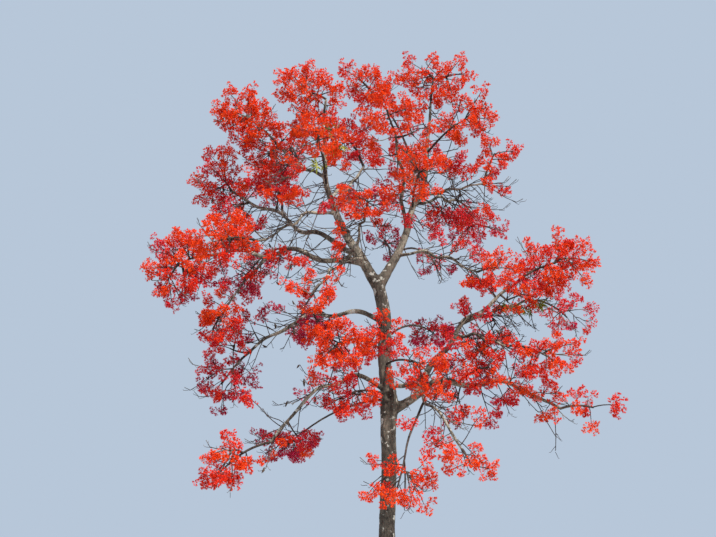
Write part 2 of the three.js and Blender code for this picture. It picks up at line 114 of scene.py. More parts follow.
# Each bough is one limb of the same wood. It grows out of its parent at a share of the
# parent's length, heads for a bearing (0 right, 90 back, 180 left, 270 front), leaves and
# arrives at slopes in degrees above level, wanders a little on the way, and tapers to its tip.
BOUGHS = {
    "left_leader": dict(on="trunk", at=0.982, bearing=201, reach=1.39, climb=4.55,
                        leaves=50, arrives=97, base=0.128, tip=0.034),
    "right_leader": dict(on="trunk", at=0.982, bearing=28, reach=1.51, climb=5.00,
                         leaves=58, arrives=84, base=0.118, tip=0.034),
    "low_right_bough": dict(on="trunk", at=0.645, bearing=351, reach=3.95, climb=0.02,
                            leaves=40, arrives=-34, base=0.108, tip=0.038),
    "rising_right_bough": dict(on="low_right_bough", at=0.17, bearing=355, reach=2.33, climb=2.56,
                               leaves=60, arrives=32, base=0.084, tip=0.042),
    "right_middle_bough": dict(on="rising_right_bough", at=0.56, bearing=35, reach=2.35, climb=0.85,
                               leaves=20, arrives=12, base=0.050, tip=0.034),
    "right_shelf_bough": dict(on="rising_right_bough", at=0.46, bearing=323, reach=1.35, climb=-0.30,
                              leaves=14, arrives=-22, base=0.046, tip=0.036),
    "front_right_bough": dict(on="trunk", at=0.71, bearing=300, reach=3.00, climb=-1.70,
                              leaves=8, arrives=-46, base=0.062, tip=0.032),
    "long_left_bough": dict(on="trunk", at=0.695, bearing=211, reach=3.08, climb=-1.30,
                            leaves=42, arrives=-50, base=0.062, tip=0.036),
    "lower_left_bough": dict(on="trunk", at=0.885, bearing=166, reach=3.40, climb=-0.65,
                             leaves=28, arrives=-36, base=0.066, tip=0.038),
    "far_left_bough": dict(on="left_leader", at=0.11, bearing=176, reach=3.90, climb=0.25,
                           leaves=10, arrives=-8, base=0.078, tip=0.040),
    "left_front_bough": dict(on="left_leader", at=0.4, bearing=217, reach=2.20, climb=-1.05,
                             leaves=4, arrives=-24, base=0.046, tip=0.032),
    "left_middle_bough": dict(on="left_leader", at=0.16, bearing=155, reach=3.60, climb=2.05,
                              leaves=27, arrives=30, base=0.074, tip=0.036),
    "upper_left_bough": dict(on="left_leader", at=0.62, bearing=145, reach=1.55, climb=1.15,
                             leaves=26, arrives=48, base=0.048, tip=0.034),
    "inner_front_bough": dict(on="left_leader", at=0.2, bearing=282, reach=1.35, climb=0.65,
                              leaves=62, arrives=24, base=0.044, tip=0.028),
    "short_left_bough": dict(on="left_leader", at=0.13, bearing=246, reach=2.50, climb=-1.15,
                             leaves=-4, arrives=-30, base=0.056, tip=0.032),
    "front_crown_bough": dict(on="right_leader", at=0.28, bearing=262, reach=1.90, climb=1.95,
                              leaves=74, arrives=52, base=0.058, tip=0.036),
    "back_crown_bough": dict(on="left_leader", at=0.47, bearing=70, reach=2.35, climb=1.55,
                             leaves=26, arrives=44, base=0.050, tip=0.036),
    "upper_right_bough": dict(on="right_leader", at=0.49, bearing=350, reach=1.65, climb=0.33,
                              leaves=26, arrives=12, base=0.042, tip=0.030),
    "back_right_bough": dict(on="right_leader", at=0.44, bearing=47, reach=2.35, climb=0.30,
                             leaves=24, arrives=-22, base=0.046, tip=0.032),
    "right_front_bough": dict(on="right_leader", at=0.17, bearing=321, reach=2.25, climb=-0.75,
                              leaves=6, arrives=-28, base=0.046, tip=0.032),
}
PULL = 1.2  # how strongly a bough keeps to the slopes at its two ends
TAPER_POWER = 0.8
WANDER, WAVES_SIDEWAYS, WAVES_UPRIGHT = 0.028, 1.7, 2.6
GOLDEN = 0.6180339887


def bezier(*corners):
    """A curve through any number of control points, as a function of the share along it."""
    corners = np.array(corners, float)
    last = len(corners) - 1

    def line(share):
        share = np.asarray(share, float)[..., None]
        return sum(
            math.comb(last, i) * share**i * (1 - share) ** (last - i) * corner
            for i, corner in enumerate(corners)
        )

    return line


def bough_line(start, bough, number):
    turn = math.radians(bough["bearing"])
    outward = np.array([math.cos(turn), math.sin(turn), 0.0])
    side = np.array([-outward[1], outward[0], 0.0])
    tip = start + outward * bough["reach"] + UP * bough["climb"]
    pull = math.dist(start, tip) * PULL / 3
    size = math.dist(start, tip) * WANDER
    leaves, arrives = (
        outward * math.cos(tilt) + UP * math.sin(tilt)
        for tilt in (math.radians(bough["leaves"]), math.radians(bough["arrives"]))
    )
    arc = bezier(start, start + leaves * pull, tip - arrives * pull, tip)

    def line(share):
        share = np.asarray(share, float)
        off = size * np.sin(math.pi * share)
        sideways = off * np.sin(2 * math.pi * (WAVES_SIDEWAYS * share + number * GOLDEN))
        upright = off * np.sin(2 * math.pi * (WAVES_UPRIGHT * share + number * GOLDEN * 2))
        return arc(share) + sideways[..., None] * side + upright[..., None] * UP

    return line


def bough_radius(bough):
    return lambda share, angle=0.0: bough["base"] + (bough["tip"] - bough["base"]) * share**TAPER_POWER


limbs = {"trunk": dict(line=trunk_line, radius=trunk_radius)}
for number, (name, bough) in enumerate(BOUGHS.items()):
    foot = limbs[bough["on"]]["line"](bough["at"])
    limbs[name] = dict(line=bough_line(foot, bough, number), radius=bough_radius(bough), bough=bough)

# Living wood never runs quite straight. One slow, even sway bends everything that stands in
# the same place by the same few centimetres, so limbs, twigs and blossom stay joined.
SWAY = 0.045
SWAY_WAVELENGTHS = (2.3, 1.7, 1.25, 0.95)
WAVE_LEVEL, WAVE_UPRIGHT, WAVE_START = 0.6, 0.8, 2.4  # which way a wave runs, and its start
PUSH_UPRIGHT, PUSH_GAIN = 0.25, 1.6  # how much of a push is upright, and its gain
STEADY_BELOW = 2.5  # the sway dies away from here down to the ground
GOLDEN_TURN = math.pi * (3 - math.sqrt(5))
TINY = 1e-9


def sway(points):
    points = np.asarray(points, float)
    amount = SWAY * np.clip(points[..., 2:] / STEADY_BELOW, 0, 1) ** 2
    moved = points.copy()
    for i, wavelength in enumerate(SWAY_WAVELENGTHS):
        turn = GOLDEN_TURN * (i + 1)
        way = np.array([math.cos(turn) * WAVE_LEVEL, math.sin(turn) * WAVE_LEVEL, WAVE_UPRIGHT])
        wave = way * (2 * math.pi / wavelength)
        push = np.array([-math.sin(turn), math.cos(turn), PUSH_UPRIGHT])
        push = push * wavelength / sum(SWAY_WAVELENGTHS) * PUSH_GAIN
        moved += amount * np.sin(points @ wave + WAVE_START * i)[..., None] * push
    return moved


def unit(vectors):
    return vectors / np.maximum(np.linalg.norm(vectors, axis=-1, keepdims=True), TINY)


def level_beside(ways, steep=0.9):
    """Directions square to some ways, and level unless a way is steep."""
    return unit(np.cross(ways, np.where(np.abs(ways[..., 2:]) > steep, RIGHT, UP)))


def tubes(paths, radii, sides, closed=False):
    """Round tubes along many lines of equally many points, as corners and faces."""
    paths = np.asarray(paths, float)
    count, rings, _ = paths.shape
    along = unit(np.gradient(paths, axis=1))
    level = level_beside(unit(paths[:, -1] - paths[:, 0]))[:, None]
    side = unit(level - (level * along).sum(-1, keepdims=True) * along)
    lift = np.cross(side, along)
    turn = np.arange(sides) * 2 * math.pi / sides
    ring = side[:, :, None] * np.cos(turn)[:, None] + lift[:, :, None] * np.sin(turn)[:, None]
    radii = np.asarray(radii, float)
    if radii.ndim == 2:
        radii = radii[..., None]
    corners = paths[:, :, None] + ring * radii[..., None]
    tube = np.arange(count)[:, None, None] * rings * sides
    step = np.arange(rings - 1)[None, :, None] * sides
    here = np.arange(sides)[None, None, :]
    there = (here + 1) % sides
    first, second = tube + step + here, tube + step + there
    quads = np.stack([first, second, second + sides, first + sides], axis=-1).reshape(-1, 4)
    faces = [quads]
    corners = corners.reshape(-1, 3)
    if closed:
        ends = np.concatenate([paths[:, 0], paths[:, -1]])
        foot = len(corners) + np.arange(count)[:, None]
        rim = np.arange(count)[:, None] * rings * sides
        fan = [np.broadcast_to(foot, (count, sides)), rim + there[0], rim + here[0]]
        top = rim + (rings - 1) * sides
        cap = [np.broadcast_to(foot + count, (count, sides)), top + here[0], top + there[0]]
        faces += [np.stack(three, axis=-1).reshape(-1, 3) for three in (fan, cap)]
        corners = np.concatenate([corners, ends])
    return corners, faces


def gathered(parts):
    """Several (corners, faces) pairs as one."""
    corners, faces, start = [], [], 0
    for part_corners, part_faces in parts:
        corners.append(part_corners)
        faces += [face + start for face in part_faces]
        start += len(part_corners)
    return np.concatenate(corners), faces


def mesh_object(name, corners, faces):
    """An object from arrays. faces is a list of arrays, each with one number of corners a face."""
    mesh = bpy.data.meshes.new(name)
    sizes = np.concatenate([np.full(len(face), face.shape[1]) for face in faces])
    loops = np.concatenate([face.ravel() for face in faces]).astype(np.int32)
    starts = np.concatenate([[0], np.cumsum(sizes)[:-1]]).astype(np.int32)
    mesh.vertices.add(len(corners))
    mesh.vertices.foreach_set("co", np.asarray(corners, np.float32).ravel())
    mesh.loops.add(len(loops))
    mesh.loops.foreach_set("vertex_index", loops)
    mesh.polygons.add(len(sizes))
    mesh.polygons.foreach_set("loop_start", starts)
    mesh.polygons.foreach_set("use_smooth", np.full(len(sizes), True))
    mesh.update(calc_edges=True)
    mesh.validate()
    piece = bpy.data.objects.new(name, mesh)
    bpy.context.scene.collection.objects.link(piece)
    return piece


# Trunk and boughs are one living piece of wood, so they are made as one skin. Each limb's tube
# is rounded at its end, all tubes are welded into one mesh, and the forks are rubbed smooth.
TRUNK_SIDES, BOUGH_SIDES = 60, 20
LENGTH_POINTS, RING_SPACING = 60, 0.07
WELD = 0.0235  # the size of the welded skin's faces
RUBS, RUB_STRENGTH = 4, 0.5
BASE_SWELL, BASE_SWELL_LENGTH = 0.30, 2.4  # at a fork, against the bough's base radius
BELOW_GROUND = 0.12  # cut off again at ground level
ROUND_END = ((0.5, 0.85), (0.85, 0.45))  # how far past its tip, and how wide, against its radius


def length_of(line, points):
    return np.linalg.norm(np.diff(line(np.linspace(0, 1, points)), axis=0), axis=1).sum()


def limb_tube(limb):
    length = length_of(limb["line"], LENGTH_POINTS)
    share = np.linspace(0, 1, math.ceil(length / RING_SPACING) + 1)
    sides = BOUGH_SIDES if "bough" in limb else TRUNK_SIDES
    angle = np.arange(sides) * 2 * math.pi / sides
    radius = np.broadcast_to(limb["radius"](share[:, None], angle[None]), (len(share), sides)).copy()
    path = limb["line"](share)
    if "bough" in limb:
        base = limb["bough"]["base"]
        radius *= 1 + BASE_SWELL * np.exp(-share * length / (BASE_SWELL_LENGTH * base))[:, None]
    else:
        path = np.concatenate([path[:1] - UP * BELOW_GROUND, path])
        radius = np.concatenate([radius[:1], radius])
    onward = unit(path[-1] - path[-2]) * radius[-1].mean()
    path = np.concatenate([path, [path[-1] + onward * past for past, _ in ROUND_END]])
    radius = np.concatenate([radius, [radius[-1] * wide for _, wide in ROUND_END]])
    return tubes(sway(path)[None], radius[None], sides, closed=True)


bark = mesh_object("bark_of_trunk_and_boughs", *gathered([limb_tube(limb) for limb in limbs.values()]))
weld = bark.modifiers.new("weld", "REMESH")
weld.mode = "VOXEL"
weld.voxel_size = WELD
weld.use_smooth_shade = True
welded = bpy.data.meshes.new_from_object(bark.evaluated_get(bpy.context.evaluated_depsgraph_get()))
bark.modifiers.clear()
bark.data = welded

skin = np.empty((len(welded.vertices), 3), np.float32)
welded.vertices.foreach_get("co", skin.ravel())
skin = skin.astype(float)
edges = np.empty((len(welded.edges), 2), np.int32)
welded.edges.foreach_get("vertices", edges.ravel())
neighbours = np.bincount(edges.ravel(), minlength=len(skin))[:, None]
for rub in range(RUBS):
    beside = np.zeros_like(skin)
    for here, there in (edges.T, edges.T[::-1]):
        for axis in range(3):
            beside[:, axis] += np.bincount(here, skin[there, axis], len(skin))
    skin += (beside / neighbours - skin) * RUB_STRENGTH

# The bark itself is thin and grey, with shallow upright cracks on the trunk that fade out along
# the boughs. It swells over knots, and over the wide old scar at the lowest fork, where a
# bough was lost and the wood healed round it.
CRACK_DEPTH = 0.011
CRACKS_PER_METRE, CRACK_STRETCH = 12.0, 5.5
CRACK_EDGE, CRACK_SINK = 0.3, 0.6  # the noise at a crack's edge, and how deep the cracks sit
PLATE_SCALE, PLATE_SHARE = 0.45, 0.5  # of the plates between the cracks, against the cracks
SLIM_SHARE = 0.11  # on slim limbs, the deepest crack against the limb's radius
LUMP_SHARE, LUMPS_PER_METRE = 0.10, 2.1
SCAR = dict(height=6.16, turn=262, wide=0.10, lip=0.040, lip_at=1.1, lip_wide=0.45,
            hollow=0.045, hollow_fall=1.6)
KNOTS = (  # height on the trunk, turn round it in degrees, width and how far it stands out
    (1.35, 300, 0.08, 0.030), (2.55, 215, 0.06, 0.022), (3.60, 285, 0.07, 0.026),
    (4.55, 330, 0.06, 0.020), (4.95, 120, 0.08, 0.028), (5.45, 240, 0.07, 0.030),
    (6.45, 305, 0.09, 0.034), (7.30, 250, 0.07, 0.026), (8.15, 275, 0.06, 0.022),
)
AXIS_POINTS = 90  # along each limb


def noise_at(places):
    return np.array([noise.noise(Vector(place)) for place in places])


axis_points, axis_rows = [], []  # a row: the way from the foot, the radius and two ways across
for limb in limbs.values():
    shares = np.linspace(0, 1, AXIS_POINTS)
    points = sway(limb["line"](shares))
    travelled = np.concatenate([[0], np.cumsum(np.linalg.norm(np.diff(points, axis=0), axis=1))])
    slope = unit(np.gradient(points, axis=0))
    level = unit(np.cross(slope, UP if "bough" in limb else BACK))
    radius = limb["radius"](shares)
    axis_points.append(points)
    axis_rows.append(np.column_stack([travelled, radius, level, np.cross(level, slope)]))
axis_points, axis_rows = np.concatenate(axis_points), np.concatenate(axis_rows)
tree = kdtree.KDTree(len(axis_points))
for i, point in enumerate(axis_points):
    tree.insert(point, i)
tree.balance()
nearest = np.array([tree.find(point)[1] for point in skin])
travelled, radius = axis_rows[nearest, 0], axis_rows[nearest, 1]
out = skin - axis_points[nearest]
turn = np.arctan2((out * axis_rows[nearest, 5:8]).sum(1), (out * axis_rows[nearest, 2:5]).sum(1))
around = np.stack([np.cos(turn) * radius, np.sin(turn) * radius, travelled / CRACK_STRETCH], axis=1)
depth = np.minimum(CRACK_DEPTH, SLIM_SHARE * radius)
cracks = np.abs(noise_at(around * CRACKS_PER_METRE))
plates = noise_at(around * CRACKS_PER_METRE * PLATE_SCALE)
relief = depth * (np.minimum(cracks, CRACK_EDGE) / CRACK_EDGE - CRACK_SINK + PLATE_SHARE * plates)
relief += LUMP_SHARE * radius * noise_at(skin * LUMPS_PER_METRE)


def on_trunk(height, turn):
    """The place on the trunk's skin at a height and a turn round it in degrees."""
    share, turn = height / TRUNK["height"], math.radians(turn)
    outward = np.array([math.cos(turn), math.sin(turn), 0.0])
    return sway(trunk_line(share)) + outward * trunk_radius(share)


for height, turn, wide, proud in KNOTS:
    away = np.linalg.norm(skin - on_trunk(height, turn), axis=1) / wide
    relief += proud * np.exp(-(away**2))
away = np.linalg.norm(skin - on_trunk(SCAR["height"], SCAR["turn"]), axis=1) / SCAR["wide"]
relief += SCAR["lip"] * np.exp(-(((away - SCAR["lip_at"]) / SCAR["lip_wide"]) ** 2))
relief -= SCAR["hollow"] * np.exp(-SCAR["hollow_fall"] * away**2)

normals = np.empty_like(skin, np.float32)
welded.vertices.foreach_set("co", skin.astype(np.float32).ravel())
welded.update()
welded.vertex_normals.foreach_get("vector", normals.ravel())
skin = skin + normals * relief[:, None]
welded.vertices.foreach_set("co", skin.astype(np.float32).ravel())
welded.update()

shaped = bmesh.new()
shaped.from_mesh(welded)
everything = [*shaped.verts, *shaped.edges, *shaped.faces]
bmesh.ops.bisect_plane(shaped, geom=everything, plane_co=(0, 0, 0), plane_no=(0, 0, -1), clear_outer=True)
rim = [edge for edge in shaped.edges if edge.is_boundary]
bmesh.ops.holes_fill(shaped, edges=rim, sides=0)
shaped.to_mesh(welded)
shaped.free()
welded.polygons.foreach_set("use_smooth", np.full(len(welded.polygons), True))


def new_material(name, roughness, shine=0.5):
    material = bpy.data.materials.new(name)
    material.use_nodes = True
    shader = material.node_tree.nodes["Principled BSDF"]
    shader.inputs["Roughness"].default_value = roughness
    shader.inputs["Specular IOR Level"].default_value = shine
    return material, material.node_tree, shader


def speckle(tree, scale, stretch=(1, 1, 1), detail=6.0, low=0.35, high=0.65):
    """A noise in the object's own space, brought to run from 0 to 1 between two levels."""
    nodes, links = tree.nodes, tree.links
    place = nodes.new("ShaderNodeTexCoord")
    mapping = nodes.new("ShaderNodeMapping")
    mapping.inputs["Scale"].default_value = stretch
    cloud = nodes.new("ShaderNodeTexNoise")
    cloud.inputs["Scale"].default_value = scale
    cloud.inputs["Detail"].default_value = detail
    span = nodes.new("ShaderNodeMapRange")
    span.inputs["From Min"].default_value = low
    span.inputs["From Max"].default_value = high
    links.new(place.outputs["Object"], mapping.inputs["Vector"])
    links.new(mapping.outputs["Vector"], cloud.inputs["Vector"])
    links.new(cloud.outputs["Fac"], span.inputs["Value"])
    return span.outputs["Result"]


def blended(tree, share, first, second):
    """Two colours, or outputs that carry one, mixed by a share."""
    mix = tree.nodes.new("ShaderNodeMix")
    mix.data_type = "RGBA"
    for name, value in (("A", first), ("B", second)):
        target = next(port for port in mix.inputs if port.name == name and port.type == "RGBA")
        if isinstance(value, tuple):
            target.default_value = (*value, 1)
        else:
            tree.links.new(value, target)
    tree.links.new(share, mix.inputs["Factor"])
    return next(port for port in mix.outputs if port.type == "RGBA")


def raised(tree, shader, level, strength, distance):
    bump = tree.nodes.new("ShaderNodeBump")
    bump.inputs["Strength"].default_value = strength
    bump.inputs["Distance"].default_value = distance
    tree.links.new(level, bump.inputs["Height"])
    tree.links.new(bump.outputs["Normal"], shader.inputs["Normal"])


DARK_BARK, MID_BARK = (0.030, 0.023, 0.017), (0.085, 0.068, 0.052)
GREY_BARK, TAN_BARK = (0.150, 0.122, 0.092), (0.40, 0.35, 0.27)
LICHEN = (0.50, 0.48, 0.42)
SHADED_OLD_BARK_WITHIN = (0.22, 0.75)  # from the trunk's axis, where the darker old bark with painted shade from the crown turns to paler young bark with painted sunlight

bark_finish, bark_nodes, bark_shader = new_material("grey_bark", roughness=0.92)
grain = speckle(bark_nodes, scale=30.0, stretch=(1, 1, 0.35), low=0.38, high=0.60)
patches = speckle(bark_nodes, scale=2.2, low=0.44, high=0.58)
crust = speckle(bark_nodes, scale=7.0, detail=4.0, low=0.600, high=0.650)
fine = speckle(bark_nodes, scale=60.0, stretch=(1, 1, 0.4), detail=4.0)
bark_place = bark_nodes.nodes.new("ShaderNodeTexCoord")
level_place = bark_nodes.nodes.new("ShaderNodeMapping")
level_place.inputs["Scale"].default_value = (1, 1, 0)
from_axis = bark_nodes.nodes.new("ShaderNodeVectorMath")
from_axis.operation = "LENGTH"
youth_and_sunlight = bark_nodes.nodes.new("ShaderNodeMapRange")
youth_and_sunlight.inputs["From Min"].default_value, youth_and_sunlight.inputs["From Max"].default_value = SHADED_OLD_BARK_WITHIN
bark_nodes.links.new(bark_place.outputs["Object"], level_place.inputs["Vector"])
bark_nodes.links.new(level_place.outputs["Vector"], from_axis.inputs[0])
bark_nodes.links.new(from_axis.outputs["Value"], youth_and_sunlight.inputs["Value"])
# Painted shade and light: near the trunk's axis the bark takes its darker tone, partly the old bark's own
# colour and partly painted shade cast by the crown, and out on the boughs its paler tan tone, partly
# painted sunlight.
shaded_old_tone = blended(
    bark_nodes, patches, blended(bark_nodes, grain, DARK_BARK, MID_BARK),
    blended(bark_nodes, grain, MID_BARK, GREY_BARK),
)
sunlit_young_tone = blended(
    bark_nodes, patches, blended(bark_nodes, grain, DARK_BARK, GREY_BARK),
    blended(bark_nodes, grain, GREY_BARK, TAN_BARK),
)
tone = blended(bark_nodes, youth_and_sunlight.outputs["Result"], shaded_old_tone, sunlit_young_tone)
bark_nodes.links.new(blended(bark_nodes, crust, tone, LICHEN), bark_shader.inputs["Base Color"])
raised(bark_nodes, bark_shader, fine, strength=0.5, distance=0.006)
bark.data.materials.clear()
bark.data.materials.append(bark_finish)
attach(bark, "root")
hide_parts("trunk", *BOUGHS)

# Every mass of blossom hangs on one stem, which leaves a limb on its way or at its tip, and
# fills an egg-shaped space of its own. Twigs branch from the stem by one rule, and nothing
# crosses into another mass or touches a limb.
MASSES = {  # full is how close the sprays stand, and bloom how richly they flower, if not 1
    "blossom_low_right": dict(on="low_right_bough", centre=(4.72, -0.70, 5.82),
                              half=(1.24, 0.90, 0.66), full=0.6),
    "blossom_low_right_inner": dict(on="low_right_bough", at=0.42, centre=(2.35, -1.05, 6.70),
                                    half=(1.18, 0.80, 0.70), full=1, bloom=0.80),
    "blossom_right_top": dict(on="rising_right_bough", centre=(4.00, -0.40, 9.27),
                              half=(1.15, 1.10, 0.98), full=1, bloom=1.20),
    "blossom_right_middle": dict(on="right_middle_bough", centre=(4.63, 1.65, 8.40),
                                 half=(0.94, 1.00, 0.76), full=0.6, bloom=0.70),
    "blossom_right_shelf": dict(on="right_shelf_bough", centre=(3.60, -1.35, 6.88),
                                half=(1.22, 0.85, 0.62), full=1, bloom=1.10),
    "blossom_front_right": dict(on="front_right_bough", centre=(1.72, -2.95, 4.26),
                                half=(0.90, 0.76, 0.58), full=0.9),
    "blossom_front_low": dict(on="front_right_bough", at=0.5, centre=(0.20, -2.60, 3.86),
                              half=(1.10, 0.78, 0.78), full=0.8, bloom=0.85),
    "blossom_long_left": dict(on="long_left_bough", centre=(-3.57, -1.90, 4.28),
                              half=(0.82, 0.86, 0.94), full=0.9, bloom=1.25),
    "blossom_low_back_left": dict(on="trunk", at=0.68, centre=(-2.42, 2.30, 5.30),
                                  half=(1.14, 0.96, 0.57), full=0.9),
    "blossom_lower_left": dict(on="lower_left_bough", centre=(-3.86, 1.05, 6.62),
                               half=(1.14, 1.06, 0.88), full=0.75, bloom=0.80),
    "blossom_left_fall": dict(on="far_left_bough", at=0.6, centre=(-3.91, -0.90, 7.57),
                              half=(0.85, 0.82, 0.72), full=1, bloom=1.35),
    "blossom_front_left_low": dict(on="trunk", at=0.8, centre=(-1.03, -2.65, 6.89),
                                   half=(0.98, 0.94, 0.68), full=1, bloom=1.30),
    "blossom_hub_left": dict(on="trunk", at=0.69, centre=(-0.98, -1.50, 5.92),
                             half=(1.10, 0.72, 0.66), full=0.8, bloom=1.20),
    "blossom_trunk_front": dict(on="trunk", at=0.84, centre=(-0.05, -1.70, 7.20),
                                half=(0.54, 0.70, 0.80), full=1, bloom=1.15),
    "blossom_hub_right": dict(on="trunk", at=0.77, centre=(0.87, -2.20, 6.40),
                              half=(0.74, 0.80, 0.74), full=1, bloom=0.85),
    "blossom_low_back": dict(on="trunk", at=0.84, centre=(1.30, 3.00, 8.30),
                             half=(1.00, 1.06, 0.62), full=0.8),
    "blossom_far_left": dict(on="far_left_bough", centre=(-4.93, 0.25, 9.34),
                             half=(1.02, 1.12, 1.22), full=1, bloom=1.15),
    "blossom_left_front": dict(on="left_front_bough", centre=(-3.74, -2.00, 9.40),
                               half=(0.98, 0.92, 0.78), full=1),
    "blossom_left_back": dict(on="far_left_bough", at=0.45, centre=(-3.54, 2.60, 9.65),
                              half=(1.02, 1.06, 0.86), full=0.8, bloom=0.70),
    "blossom_left_middle": dict(on="left_middle_bough", centre=(-4.06, 1.50, 11.96),
                                half=(0.90, 1.00, 1.10), full=1, bloom=1.15),
    "blossom_left_inner": dict(on="left_middle_bough", at=0.6, centre=(-2.88, 2.40, 12.33),
                               half=(1.00, 1.00, 0.90), full=0.9, bloom=0.75),
    "blossom_left_top": dict(on="left_leader", centre=(-1.79, -0.50, 13.53),
                             half=(1.10, 1.06, 0.84), full=1, bloom=1.25),
    "blossom_upper_left": dict(on="upper_left_bough", centre=(-3.34, 0.35, 13.16),
                               half=(1.14, 1.06, 0.98), full=1, bloom=1.45),
    "blossom_inner_front": dict(on="inner_front_bough", centre=(-0.33, -2.15, 10.22),
                                half=(0.94, 0.78, 0.58), full=0.8, bloom=0.80),
    "blossom_short_left": dict(on="short_left_bough", centre=(-1.62, -2.75, 7.94),
                               half=(0.80, 0.80, 0.56), full=0.8),
    "blossom_right_top_leader": dict(on="right_leader", centre=(1.30, 0.80, 14.43),
                                     half=(1.14, 1.06, 0.88), full=1),
    "blossom_upper_right_front": dict(on="right_leader", at=0.72, centre=(2.14, -0.85, 12.77),
                                      half=(0.84, 0.88, 0.82), full=0.9),
    "blossom_front_crown": dict(on="front_crown_bough", centre=(0.09, -1.90, 12.45),
                                half=(0.94, 0.98, 0.90), full=1),
    "blossom_middle_top": dict(on="right_leader", at=0.6, centre=(-0.42, 1.30, 14.50),
                               half=(0.94, 0.96, 0.78), full=1, bloom=1.25),
    "blossom_back_crown": dict(on="back_crown_bough", centre=(-0.90, 2.30, 13.40),
                               half=(0.98, 1.00, 0.86), full=1),
    "blossom_upper_right": dict(on="upper_right_bough", centre=(2.72, 0.10, 12.20),
                                half=(0.82, 0.86, 0.76), full=1),
    "blossom_back_right": dict(on="back_right_bough", centre=(2.39, 2.70, 11.02),
                               half=(1.10, 1.00, 0.76), full=0.8, bloom=0.70),
    "blossom_right_inner": dict(on="right_leader", at=0.12, centre=(0.06, 1.90, 10.40),
                                half=(0.62, 0.70, 0.56), full=0.6),
    "blossom_right_front": dict(on="right_front_bough", centre=(2.48, -1.45, 8.85),
                                half=(0.84, 0.80, 0.82), full=0.8, bloom=0.90),
    "blossom_back_right_low": dict(on="right_leader", at=0.2, centre=(1.54, 3.80, 10.20),
                                   half=(0.84, 0.90, 0.64), full=0.5),
    "blossom_back_middle": dict(on="upper_left_bough", at=0.5, centre=(-2.50, 3.65, 13.30),
                                half=(1.00, 0.90, 0.80), full=0.8, bloom=0.65),
    "blossom_back_left": dict(on="lower_left_bough", at=0.4, centre=(-2.26, 3.50, 8.65),
                              half=(1.06, 1.00, 0.76), full=0.6, bloom=0.65),
    "blossom_front_upper_left": dict(on="left_leader", at=0.54, centre=(-1.54, -2.50, 11.63),
                                     half=(0.82, 0.84, 0.74), full=0.9, bloom=0.75),
    "blossom_front_upper_right": dict(on="right_leader", at=0.42, centre=(0.81, -2.40, 10.85),
                                      half=(0.82, 0.84, 0.84), full=0.9, bloom=0.75),
}
SPRAY_LONGEST, SPRAY_SHORTEST = 0.90, 0.40
SPRAY_WIDTH = 0.76  # against its length
SPRAYS_PER_SQUARE_METRE = 4.5
LAST_STRETCH = 0.8  # of the longest spray, left of the way where a new twig hands over to it
TWIG_ROOM, TWIG_LIFT, TWIG_BARE, BUD_SPACING = 0.024, 0.16, 0.2, 0.07
STEM_ROOM, STEM_ARCH, STEM_BARE = 0.048, 0.16, 0.3
STEM_LAST_BUD, STEM_FEWEST, STEM_PARTS = 0.96, 8, 3
SHELL, MAX_TRIES = 0.2, 12
LIMB_PARTS, BEAD_SPACING, BEAD_MARGIN, OVERLAP = 12, 0.06, 0.012, 0.72
SCATTER = np.array([0.8191725134, 0.6710436067, 0.5497004779])  # the steps of an even scatter
SPRAY_BEADS = np.array([[0.2, 0.35], [0.4, 0.7], [0.6, 1.0], [0.8, 0.5], [0.95, 0.15]])
NO_BEADS = np.empty((0, 4))
BUD_LINE_POINTS = 201  # by which a twig's length is measured
TOUCHING = 0.001

mass_centres = np.array([mass["centre"] for mass in MASSES.values()])
mass_halves = np.array([mass["half"] for mass in MASSES.values()])


def beads_along(start, end, radius_from, radius_to):
    """Balls along a straight line, as rows of a centre and a radius, that stand for its solid."""
    count = max(1, math.ceil(math.dist(start, end) / BEAD_SPACING))
    share = np.linspace(0, 1, count + 1)[:, None]
    radius = radius_from + (radius_to - radius_from) * share + BEAD_MARGIN
    return np.hstack([start + (end - start) * share, radius])


def beads_on(line, radius, parts):
    ends = np.linspace(0, 1, parts + 1)
    return np.concatenate(
        [beads_along(line(a), line(b), radius(a), radius(b)) for a, b in zip(ends, ends[1:])]
    )


def spray_beads(root, end):
    half = math.dist(root, end) * SPRAY_WIDTH / 2
    return np.hstack([root + (end - root) * SPRAY_BEADS[:, :1], half * SPRAY_BEADS[:, 1:]])


def slimmer(beads, share=OVERLAP):
    return beads * [1, 1, 1, share]


def touches(beads, others):
    if not len(beads) or not len(others):
        return False
    gap = np.linalg.norm(beads[:, None, :3] - others[None, :, :3], axis=2)
    return bool((gap < beads[:, None, 3] + others[None, :, 3]).any())


def keeps_to_space(number, points):
    reach = np.linalg.norm((points[:, None] - mass_centres) / mass_halves, axis=2)
    own = reach[:, number].copy()
    reach[:, number] = np.inf
    return bool((own < reach.min(axis=1)).all())


def scattered(number, step, shell):
    """A point in the outer part of a ball of radius 1, from an even scatter."""
    chances = ((number + 1) * GOLDEN * np.array([1, 2, 3]) + (step + 1) * SCATTER) % 1
    level, turn = 1 - 2 * chances[0], 2 * math.pi * chances[1]
    out = math.sqrt(shell + (1 - shell) * chances[2])
    ring = math.sqrt(1 - level * level) * out
    return np.array([ring * math.cos(turn), ring * math.sin(turn), level * out])


def place_in_mass(number, step, shell, pattern=0):
    """A place in a mass. Each kind of twig has its own pattern, so they don't fall together."""
    return mass_centres[number] + scattered(number + pattern, step, shell) * mass_halves[number]


def buds_along(twig, bare, spacing, last_bud=1.0, fewest=1):
    """The free places along a twig, each of which can carry one spray or one finer twig."""
    leafy = last_bud - bare
    spaces = max(fewest, math.floor(length_of(twig["line"], BUD_LINE_POINTS) * leafy / spacing))
    shares = last_bud - leafy * np.arange(spaces + 1) / spaces
    return [dict(twig=twig, at=twig["line"](share)) for share in shares]


def nearest_bud(buds, end):
    away = [math.dist(bud["at"], end) for bud in buds]
    best = int(np.argmin(away))
    return buds[best], away[best]


def without(buds, taken):
    return [bud for bud in buds if bud is not taken]


def away_from(buds, place):
    return [bud for bud in buds if math.dist(bud["at"], place) > TOUCHING]


